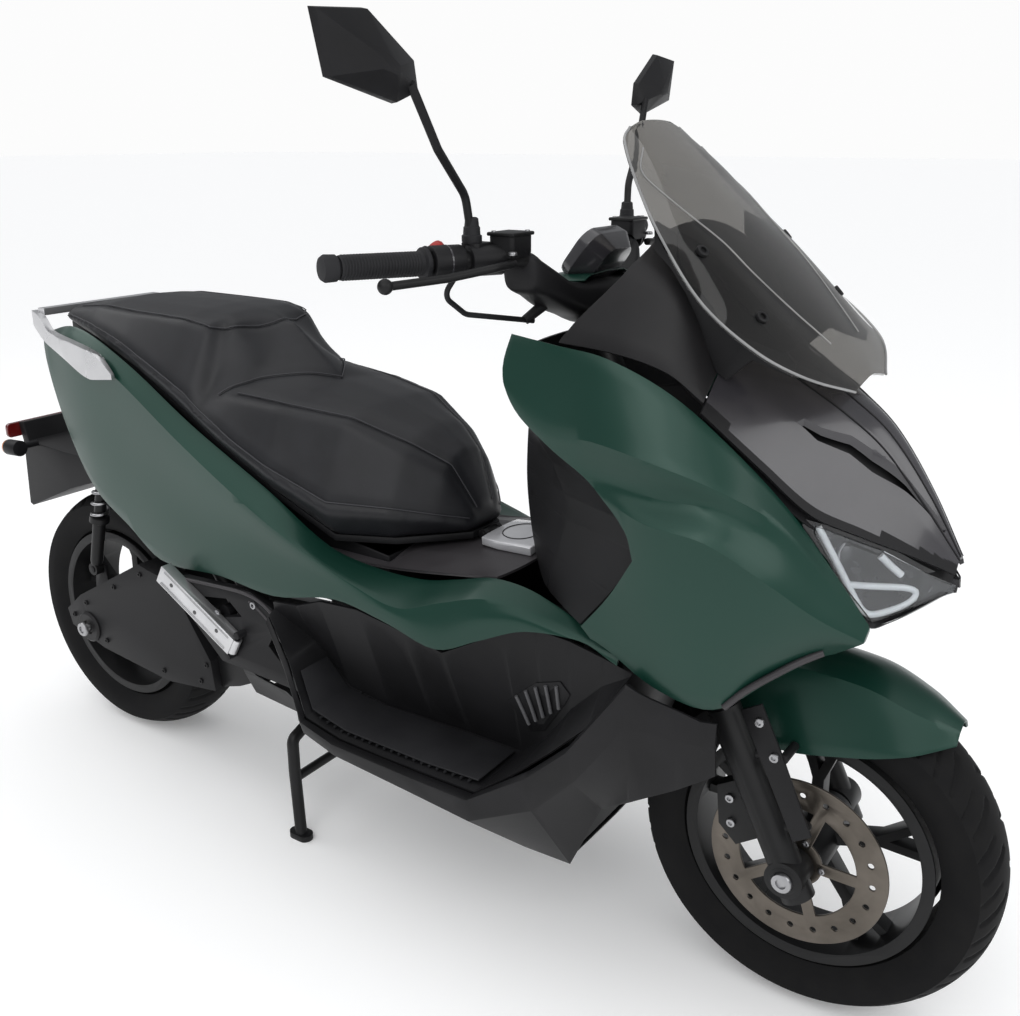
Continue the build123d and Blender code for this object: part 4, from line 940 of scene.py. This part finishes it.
def dress_wheels():
    bolt_circle, valve_reach = 0.034, 0.15
    treaded_tyre("front_tyre", front_axle, 0.11, 24)
    treaded_tyre("rear_tyre", rear_axle, 0.127, 22)
    for node, (ax, az), side in (("front_disc", front_axle, -1), ("rear_disc", rear_axle, 1)):
        low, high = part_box(node)
        face = low[1] if side < 0 else high[1]
        spots = [
            ((ax + bolt_circle * cos(2 * pi * k / 5), face, az + bolt_circle * sin(2 * pi * k / 5)), (0, side, 0))
            for k in range(5)
        ]
        add_on(screws(node + "_bolts", spots, 0.0048, 0.004), node, "steel")
    for node, (ax, az) in (("front_axle", front_axle), ("rear_axle", rear_axle)):
        low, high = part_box(node)
        ends = [((ax, low[1] + 0.004, az), (0, -1, 0)), ((ax, high[1] - 0.004, az), (0, 1, 0))]
        nuts = screws(node + "_nuts", ends, 0.0135, 0.006)
        add_on(nuts, node, "steel")
    for node, (ax, az) in (("front_rim", front_axle), ("rear_rim", rear_axle)):
        foot = (ax + valve_reach * 0.62, 0.012, az + valve_reach * 0.785)
        tip = (ax + valve_reach * 0.45, 0.03, az + valve_reach * 0.57)
        stem = turned(node + "_valve", foot, tip, [
            (0, 0.004), (0.1, 0.005), (0.45, 0.0045), (0.5, 0.0028), (0.95, 0.0028), (1, 0),
        ], steps=14)
        add_on(stem, node, "soft_rubber")


# ---------------------------------------------------------------- fork and front brake
def dress_fork():
    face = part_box("front_calliper")[0][1]
    spots = [((x, face, z), (0, -1, 0)) for x, z in ((0.632, 0.328), (0.598, 0.27), (0.594, 0.306))]
    add_on(screws("calliper_bolts", spots, 0.0062, 0.005), "front_calliper", "steel")
    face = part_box("fender_stays")[0][1]
    spots = both_sides([((x, face, z), (0, -1, 0)) for x, z in ((0.64, 0.452), (0.662, 0.41))])
    add_on(screws("stay_bolts", spots, 0.0062, 0.0045), "fender_stays", "steel")
    caps = []
    for side in (-1, 1):
        start, end = ((front_axle[0], side * y, front_axle[1]) for y in (0.1185, 0.1235))
        caps.append(turned("leg_foot", start, end, [
            (0, 0.019), (0.7, 0.019), (1, 0.016), (1, 0.01), (0.5, 0.009), (0.5, 0),
        ], steps=28))
    add_on(joined("leg_foot_caps", caps), "fork_legs", "black_metal")


# ---------------------------------------------------------------- handlebar
bar_middle = 0.3138


def grip_point(share, side):
    near = Vector((bar_middle - 0.052, side * 0.224, 0.992))
    far = Vector((bar_middle - 0.118, side * 0.372, 0.994))
    return near + (far - near) * share


shroud_sections = [
    # distance from the middle, then rear top, front top, front foot and rear foot from the bar's middle
    (0, [(-44, 955), (42, 962), (52, 900), (-33, 893)]),
    (40, [(-45, 953), (40, 960), (45, 912), (-34, 907)]),
    (78, [(-46, 957), (32, 962), (36, 926), (-36, 921)]),
    (112, [(-46, 980), (18, 984), (22, 943), (-37, 939)]),
    (134, [(-44, 994), (6, 997), (10, 953), (-38, 949)]),
    (139, [(-36, 986), (-2, 989), (2, 962), (-32, 958)]),
]


def handlebar_shroud():
    """The rounded cover over the bar, drawn through rounded sections from side to side."""
    sections = [(-y, corners) for y, corners in reversed(shroud_sections[1:])] + shroud_sections
    sides, squareness = 28, 0.55
    lines = []
    for k in range(sides):
        angle = 2 * pi * k / sides
        u = math.copysign(abs(cos(angle)) ** squareness, cos(angle)) / 2 + 0.5
        v = math.copysign(abs(sin(angle)) ** squareness, sin(angle)) / 2 + 0.5
        run = []
        for y, corners in sections:
            rear_top, front_top, front_foot, rear_foot = [Vector((x, y, z)) for x, z in corners]
            spot = rear_foot.lerp(front_foot, u).lerp(rear_top.lerp(front_top, u), v)
            run.append(Vector((bar_middle + spot.x / 1000, spot.y / 1000, spot.z / 1000)))
        lines.append(smooth_run(run, 4))
    rings = list(zip(*lines))
    points = [spot for ring in rings for spot in ring]
    faces = [
        (r * sides + k, r * sides + (k + 1) % sides, (r + 1) * sides + (k + 1) % sides, (r + 1) * sides + k)
        for r in range(len(rings) - 1) for k in range(sides)
    ]
    faces += [tuple(range(sides)), tuple(len(points) - sides + k for k in range(sides))]
    return soften(tidy_mesh(mesh_piece("handlebar_shroud", points, faces)), 40)


def dress_grips():
    """The bar's cover, the ribbed grips with their ends, and the sleeve of the brake hose."""
    hang_on(handlebar_shroud(), "handlebar_cover", "black_plastic")
    grip_pieces, end_pieces = [], []
    for side in (-1, 1):
        profile = [(0, 0.0102), (0, 0.0178), (0.02, 0.0186), (0.05, 0.0186), (0.065, 0.014)]
        turns = 26
        for k in range(turns):
            at = 0.085 + 0.89 * k / turns
            profile += [(at, 0.0134), (at + 0.008, 0.0145), (at + 0.02, 0.0145), (at + 0.028, 0.0134)]
        profile += [(0.985, 0.0138), (1, 0.0132), (1, 0.0102)]
        grip_pieces.append(turned("grip", grip_point(0.22, side), grip_point(0.9, side), profile, steps=36))
        end_pieces.append(turned("bar_end", grip_point(0.905, side), grip_point(1.03, side), [
            (0, 0.0102), (0, 0.0118), (0.15, 0.015), (0.75, 0.0155), (0.95, 0.013), (1, 0.006), (1, 0),
        ]))
    hang_on(joined("ribbed_grips", grip_pieces + end_pieces), "grips", "soft_rubber")
    sleeve = turned("hose_sleeve", (0.283, -0.101, 0.9095), (0.3, -0.072, 0.932), [
        (0, 0.0042), (0, 0.0062), (0.3, 0.0066), (1, 0.0078), (1, 0),
    ], steps=20)
    add_on(sleeve, "brake_hose", "soft_rubber")


def dress_switches():
    right_switch = grip_point(0.06, -1)
    out = Vector((-0.72, 0, 0.69))
    button = turned("kill_switch", right_switch + out * 0.017, right_switch + out * 0.0275, [
        (0, 0.0115), (0.5, 0.0115), (0.8, 0.0098), (0.95, 0.006), (1, 0),
    ], steps=28)
    add_on(button, "switch_housings", "red_button")
    toggles = []
    for side, share, up in ((-1, 0.15, 0.0), (1, 0.02, 0.004), (1, 0.1, -0.004), (1, 0.16, 0.003)):
        base = grip_point(share, side) + out * 0.0185 + Vector((0, 0, up))
        profile = [(0, 0.0052), (0.7, 0.005), (1, 0.0036), (1, 0)]
        toggles.append(turned("toggle", base, base + out * 0.005, profile, steps=20))
    add_on(joined("switch_toggles", toggles), "switch_housings", "dark_plastic")
    seams = []
    for side in (-1, 1):
        seams.append(turned("switch_seam", grip_point(0.055, side), grip_point(0.068, side), [
            (0, 0.0195), (0, 0.0204), (1, 0.0204), (1, 0.0195),
        ], steps=36))
    add_on(joined("switch_seams", seams), "switch_housings", "gloss_black")


def dress_reservoirs():
    lid_spots, lids = [], []
    for side in (-1, 1):
        centre = Vector((bar_middle - 0.02, side * 0.15, 1.019))
        lids.append(rounded_block("reservoir_lid", (0.039, 0.047, 0.0045), centre + Vector((0, 0, 0.0022)), 0.0016))
        for dx, dy in ((-0.013, -0.017), (0.013, 0.017)):
            lid_spots.append((centre + Vector((dx, dy, 0.0044)), (0, 0, 1)))
    add_on(joined("reservoir_lids", lids), "master_cylinders", "black_metal")
    add_on(screws("reservoir_screws", lid_spots, 0.003, 0.0016), "master_cylinders", "steel")
    pivots = [((bar_middle, side * 0.176, 0.9985), (0, 0, 1)) for side in (-1, 1)]
    add_on(screws("lever_pivots", pivots, 0.0055, 0.004), "brake_levers", "steel")


def dress_display():
    facing = Vector((-0.8, 0, 0.6))
    across, upward = Vector((0, 1, 0)), Vector((0.6, 0, 0.8))
    turn = Matrix((
        (across.x, upward.x, facing.x, 0), (across.y, upward.y, facing.y, 0),
        (across.z, upward.z, facing.z, 0), (0, 0, 0, 1),
    ))
    middle = Vector((bar_middle + 0.004, 0, 0.994)) - facing * 0.0026
    glass = rounded_block("display_glass", (0.084, 0.054, 0.0022), middle, 0.001, turn=turn)
    add_on(glass, "display", "display_glass")


def dress_mirrors():
    boots = []
    for side in (-1, 1):
        foot = Vector((bar_middle - 0.046, side * 0.194, 1.0115))
        boots.append(turned("mirror_boot", foot, foot + Vector((0, 0, 0.03)), [
            (0, 0.0115), (0.1, 0.0122), (0.3, 0.0122), (0.34, 0.0104), (0.62, 0.01), (0.66, 0.0088),
            (0.95, 0.008), (1, 0.0062),
        ], steps=24))
    add_on(joined("mirror_boots", boots), "mirrors", "soft_rubber")


# ---------------------------------------------------------------- nose and lamps
def dress_nose():
    strips = []
    loop = [
        # band along the lamp's rear edge, its foot, its tip and back above
        (0.6925, 0.118, 0.714), (0.715, 0.1085, 0.672), (0.74, 0.099, 0.623), (0.75, 0.093, 0.61),
        (0.764, 0.083, 0.612), (0.786, 0.062, 0.621), (0.7935, 0.052, 0.633), (0.786, 0.057, 0.64),
        (0.764, 0.077, 0.643), (0.743, 0.093, 0.645), (0.729, 0.103, 0.6465),
    ]
    bar = [(0.754, 0.079, 0.68), (0.764, 0.0725, 0.668), (0.776, 0.064, 0.656)]
    for side in (-1, 1):
        for path, wide in ((loop, 0.0042), (bar, 0.0046)):
            set_back = [(x - 0.0055, side * (y - 0.005), z) for x, y, z in path]
            strips.append(wire("running_light", set_back, wide, sides=3))
    add_on(joined("running_lights", strips), "headlight_housing", "light_strip")
    well_side = [
        (672, [(119, 722), (121, 704)]), (700, [(106, 714), (111, 676)]), (716, [(94, 706), (103, 645)]),
        (752, [(68, 690), (84, 599)]), (768, [(56, 680), (72, 602)]), (790, [(38, 664), (52, 614)]),
        (814, [(11, 646), (19, 627)]), (824, [(3, 642), (10, 629)]),
    ]
    well = moulded_skin("lamp_well", well_side, [1, 1], wall=0.002)
    floor_side = [
        (706, [(112, 650), (118, 652)]), (752, [(78, 598.5), (100, 601.5)]), (770, [(64, 601), (84, 606)]),
        (790, [(46, 612), (66, 618)]), (816, [(10, 628), (24, 632)]),
    ]
    well_floor = moulded_skin("lamp_floor", floor_side, [1, 1], wall=0.0012)
    wells = mirrored_pair("lamp_wells", joined("lamp_well", [well, well_floor]))
    add_on(wells, "headlight_housing", "lamp_dark_and_hole_shade")
    eyes, rings = [], []
    for side in (-1, 1):
        for x, y, z, r in ((0.722, 0.094, 0.682, 0.0125), (0.768, 0.058, 0.652, 0.0105)):
            outward = Vector((0.86, side * 0.5, 0)).normalized()
            centre = Vector((x, side * y, z)) - outward * 0.006
            eyes.append(turned("projector", centre - outward * 0.004, centre + outward * 0.006, [
                (0, r), (0.3, r), (0.6, r * 0.86), (0.85, r * 0.55), (1, 0),
            ], steps=28))
            rings.append(turned("projector_ring", centre - outward * 0.006, centre + outward * 0.001, [
                (0, r), (0, r * 1.22), (1, r * 1.22), (1, r * 1.02),
            ], steps=28))
    add_on(joined("projectors", eyes), "headlight_housing", "projector_glass")
    add_on(joined("projector_rings", rings), "headlight_housing", "steel")
    spots = both_sides([((0.534, -0.13, 1.0105), (0.7, -0.3, 0.68)), ((0.608, -0.13, 0.944), (0.7, -0.3, 0.68))])
    add_on(screws("screen_bolts", spots, 0.0075, 0.0045), "windshield", "black_metal")


# ---------------------------------------------------------------- footwells
def dress_footwells():
    rib_count, rib_pitch, mat_top = 21, 0.0135, 0.3068
    ribs = []
    for side in (-1, 1):
        for k in range(rib_count):
            x = 0.012 + k * rib_pitch
            share = max(0.0, min(1.0, (x - 0.006) / 0.21))
            y_in, y_out = 0.143 - 0.006 * share, 0.236
            z = mat_top if x < 0.06 else mat_top - 0.0022 * share
            if x < 0.05:
                z += (0.05 - x) * 0.26
            ribs.append(wire("mat_rib", [
                (x, side * y_in, z), (x + 0.004, side * (y_in + y_out) / 2, z - 0.0004), (x, side * y_out, z - 0.001),
            ], 0.0021, sides=2))
    add_on(joined("mat_ribs", ribs), "foot_mats", "soft_rubber")


# ---------------------------------------------------------------- tail and rear suspension
def dress_shocks():
    loops, steps_per_loop, coil_radius = 9, 14, 0.0145
    springs, bodies = [], []
    for side in (-1, 1):
        low = Vector((-0.668, side * 0.1123, 0.362))
        high = Vector((-0.596, side * 0.096, 0.7))
        turn, length = axis_frame(low, high)
        coil = []
        for k in range(loops * steps_per_loop + 1):
            share = k / (loops * steps_per_loop)
            angle = 2 * pi * loops * share
            at = length * (0.3 + 0.58 * share)
            spot = Vector((coil_radius * cos(angle), coil_radius * sin(angle), at))
            coil.append((Matrix.Translation(low) @ turn) @ spot)
        springs.append(wire("spring", coil, 0.003, sides=2))
        run = high - low
        bodies.append(turned("damper", low + run * 0.03, low + run * 0.97, [
            (0, 0), (0, 0.01), (0.02, 0.0115), (0.26, 0.0115), (0.27, 0.0178), (0.3, 0.0178), (0.31, 0.0105),
            (0.55, 0.0105), (0.56, 0.0075), (0.88, 0.0075), (0.89, 0.0178), (0.93, 0.0178), (0.95, 0.012),
            (1, 0.01), (1, 0),
        ], steps=28))
        for eye in (low, high):
            half_wide = Vector((0, 0.008, 0))
            bodies.append(turned("damper_eye", eye - half_wide, eye + half_wide, [
                (0, 0.0064), (0, 0.0118), (0.1, 0.0122), (0.9, 0.0122), (1, 0.0118), (1, 0.0064),
            ], steps=28))
    hang_on(joined("dampers", bodies), "rear_shocks", "black_metal")
    add_on(joined("springs", springs), "rear_shocks", "steel")


def dress_motor_cover():
    spots = [
        ((x, -0.128, z), (0, -1, 0)) for x, z in
        ((-0.362, 0.252), (-0.446, 0.372), (-0.52, 0.388), (-0.6, 0.345), (-0.69, 0.292), (-0.732, 0.258),
         (-0.64, 0.226), (-0.48, 0.208), (-0.38, 0.216))
    ]
    add_on(screws("case_bolts", spots, 0.0048, 0.003), "motor_cover", "black_metal")
    start, end = ((rear_axle[0], y, rear_axle[1]) for y in (-0.1275, -0.1335))
    boss = turned("case_boss", start, end, [
        (0, 0.03), (0.5, 0.03), (1, 0.026), (1, 0.014), (0.4, 0.012), (0.4, 0),
    ], steps=36)
    add_on(boss, "motor_cover", "dark_plastic")


def dress_pegs():
    """Screws and raised edges on the peg brackets, the edges in lighter grey as painted highlight, and on the pegs
    ribs and dark discs painted as the shade inside each hole.
    """
    spots = both_sides([
        ((x, -0.186, z), (0, -1, 0)) for x, z in ((-0.25, 0.402), (-0.165, 0.436), (-0.336, 0.424))
    ])
    add_on(screws("bracket_bolts", spots, 0.0062, 0.0045), "peg_brackets", "steel")
    hole_shades, ribs = [], []
    foot = Vector((-0.206, -0.2063, 0.36))
    reach, across = Vector((-0.866, 0, 0.5)), Vector((0.5, 0, 0.866))
    # dark discs, one in each hole of the peg: painted shade
    for along, off in ((0.036, 0.004), (0.088, -0.003), (0.15, 0.002)):
        spot = foot + reach * along + across * off
        top, bottom = spot + Vector((0, 0.002, 0)), spot - Vector((0, 0.0005, 0))
        hole_shades.append(turned("peg_hole_shade", top, bottom, [(0, 0), (0, 0.0036), (1, 0.0036), (1, 0)], steps=20))
    for off in (-0.0125, 0.0125):
        start, end = foot + reach * 0.01 + across * off, foot + reach * 0.172 + across * off
        ribs.append(wire("peg_rib", [start, start.lerp(end, 0.5), end], 0.0016, sides=2))
    for side, node in ((1, "pillion_peg_right"), (-1, "pillion_peg_left")):
        flip = Matrix.Scale(side, 4, (0, 1, 0))
        hole_shade_set = tidy_mesh(joined(node + "_holes", [copy_of(piece, flip) for piece in hole_shades]))
        add_on(hole_shade_set, node, "lamp_dark_and_hole_shade")
        add_on(tidy_mesh(joined(node + "_ribs", [copy_of(piece, flip) for piece in ribs])), node, "steel")
    rest()
    for piece in hole_shades + ribs:
        piece.select_set(True)
    bpy.ops.object.delete()
    # raised beads along the bracket's edges, partly a real rim; their lighter grey is painted highlight
    rim_highlights = []
    edge_path = [(-0.329, 0.443), (-0.25, 0.449), (-0.175, 0.453), (-0.13, 0.437), (-0.08, 0.384), (-0.03, 0.326)]
    inner_path = [(-0.176, 0.44), (-0.14, 0.424), (-0.1, 0.376), (-0.064, 0.334)]
    for side in (-1, 1):
        for path, radius in ((edge_path, 0.003), (inner_path, 0.0022)):
            rim_highlights.append(wire("bracket_rim_highlight", [(x, side * 0.1862, z) for x, z in path], radius, sides=3))
    add_on(joined("bracket_rim_highlights", rim_highlights), "peg_brackets", "grey_plastic")


def dress_charge_cap():
    """A fine ring on the cap's upper face; it is left out if the face doesn't carry all of it."""
    oval, oval_steps = [], 40
    for k in range(oval_steps):
        angle = 2 * pi * k / oval_steps
        x, y = 0.214 + 0.026 * cos(angle), 0.034 * sin(angle)
        height = top_at(nodes["charge_cap"], x, y)
        if height:
            oval.append((x, y, height + 0.0003))
    if len(oval) == oval_steps:
        ring = wire("cap_oval", oval, 0.0009, closed=True, smooth=False, sides=2)
        add_on(ring, "charge_cap", "dark_plastic")


def dress_indicators():
    lenses = []
    for side in (-1, 1):
        lenses.append(turned("indicator_lens", (-0.884, side * 0.118, 0.566), (-0.896, side * 0.118, 0.5655), [
            (0, 0.0148), (0.4, 0.0142), (0.8, 0.0105), (1, 0),
        ], steps=28))
    add_on(joined("indicator_lenses", lenses), "rear_indicators", "amber_lens")


def dress_louvres():
    opening = [
        (0.292, 0.392), (0.345, 0.44), (0.385, 0.455), (0.4, 0.44), (0.392, 0.424), (0.352, 0.364), (0.325, 0.352),
    ]
    slat_count, start_y = 5, 0.215
    shade_tiles, slats = [], []
    for side in (-1, 1):
        # a black tile over the opening under the slats: painted shade inside the vent
        corners = []
        for x, z in opening:
            corners.append((x, side * (surface_at("footboards", x, z, start_y, side) + 0.0012), z))
        shade_tiles.append(tile("louvre_shade_ground", corners, 0.0012, edge=0.0003))
        for k in range(slat_count):
            share = (k + 0.5) / slat_count
            xt, zt = 0.3 + 0.088 * share, 0.398 + 0.092 * share - 0.042 * share * share
            xl, zl = 0.318 + 0.07 * share, 0.358 + 0.06 * share
            points = []
            for t in (0, 0.35, 0.7, 1):
                x, z = xt + (xl - xt) * t, zt + (zl - zt) * t
                points.append((x, side * (surface_at("footboards", x, z, start_y, side) + 0.0032), z))
            slats.append(wire("louvre_slat", points, 0.0026, sides=3))
    add_on(joined("louvre_shade_grounds", shade_tiles), "footboards", "black_plastic")
    add_on(joined("louvre_slats", slats), "footboards", "slat_grey")


# ---------------------------------------------------------------- seat
seam_paths = [
    # how many steps, and the corners on the left: side edge, pillion's front, pillion's top, step and saddle
    (140, [
        (-0.655, 0.112, 0.841), (-0.56, 0.146, 0.84), (-0.464, 0.162, 0.82), (-0.3, 0.176, 0.756),
        (-0.2, 0.184, 0.702), (-0.127, 0.186, 0.672), (-0.02, 0.168, 0.628), (0.065, 0.13, 0.624),
        (0.116, 0.082, 0.61), (0.148, 0.04, 0.598),
    ]),
    (30, [
        (-0.3, 0.108, 0.85), (-0.272, 0.082, 0.851), (-0.252, 0.045, 0.856), (-0.246, 0.0, 0.857),
    ]),
    (60, [
        (-0.3, 0.108, 0.85), (-0.35, 0.112, 0.858), (-0.464, 0.112, 0.864), (-0.56, 0.102, 0.86),
        (-0.65, 0.084, 0.849),
    ]),
    (60, [
        (-0.254, 0.145, 0.754), (-0.215, 0.09, 0.77), (-0.165, 0.04, 0.772), (-0.127, 0.0, 0.771),
    ]),
    (110, [
        (-0.222, 0.132, 0.754), (-0.127, 0.124, 0.752), (-0.02, 0.098, 0.741), (0.065, 0.066, 0.706),
        (0.118, 0.04, 0.676), (0.149, 0.022, 0.611),
    ]),
]


def dress_seat():
    seat = tidy_mesh(working_copy("seat_cushion", "seat_padded"))
    apply_modifier(seat, "REMESH", mode="VOXEL", voxel_size=0.0052)
    apply_modifier(seat, "SMOOTH", factor=0.6, iterations=9)
    shape = seat.data
    seen = BVHTree.FromPolygons([v.co.copy() for v in shape.vertices], [tuple(p.vertices) for p in shape.polygons])

    def along_seat(points, count):
        """Even points on the cushion's skin along a run of corners."""
        lengths = [(Vector(b) - Vector(a)).length for a, b in zip(points, points[1:])]
        total = sum(lengths)
        line = []
        for k in range(count + 1):
            at = total * k / count
            for (a, b), length in zip(zip(points, points[1:]), lengths):
                if at <= length or (a, b) == (points[-2], points[-1]):
                    spot = Vector(a).lerp(Vector(b), min(1.0, at / length))
                    break
                at -= length
            near = seen.find_nearest(spot)
            line.append(near[0])
        return line

    seams = [
        along_seat([(x, side * y, z) for x, y, z in corners], count)
        for side in (-1, 1) for count, corners in seam_paths
    ]
    near_seam = KDTree(sum(len(line) for line in seams))
    for i, point in enumerate(point for line in seams for point in line):
        near_seam.insert(point, i)
    near_seam.balance()
    groove_reach, groove_depth = 0.016, 0.0028
    normals = [v.normal.copy() for v in shape.vertices]
    for v, normal in zip(shape.vertices, normals):
        gap = near_seam.find(v.co)[2]
        if gap < groove_reach:
            v.co -= normal * groove_depth * (1 - gap / groove_reach) ** 2
    shape.update()
    hang_on(soften(seat, 180), "seat_cushion", "seat_vinyl")
    beads = [wire("seat_seam", line, 0.0011, smooth=False, sides=2) for line in seams]
    add_on(joined("seat_seams", beads), "seat_cushion", "seam_thread")


stand_camera()
light_studio()
lay_floor()
finish_cad_pieces()
dress_side_panels()
dress_nose_panel()
dress_cowl()
dress_screen()
dress_fender()
dress_wheels()
dress_fork()
dress_grips()
dress_switches()
dress_reservoirs()
dress_display()
dress_mirrors()
dress_nose()
dress_footwells()
dress_louvres()
dress_shocks()
dress_motor_cover()
dress_pegs()
dress_charge_cap()
dress_indicators()
dress_seat()

bpy.context.scene.view_settings.view_transform = "Standard"
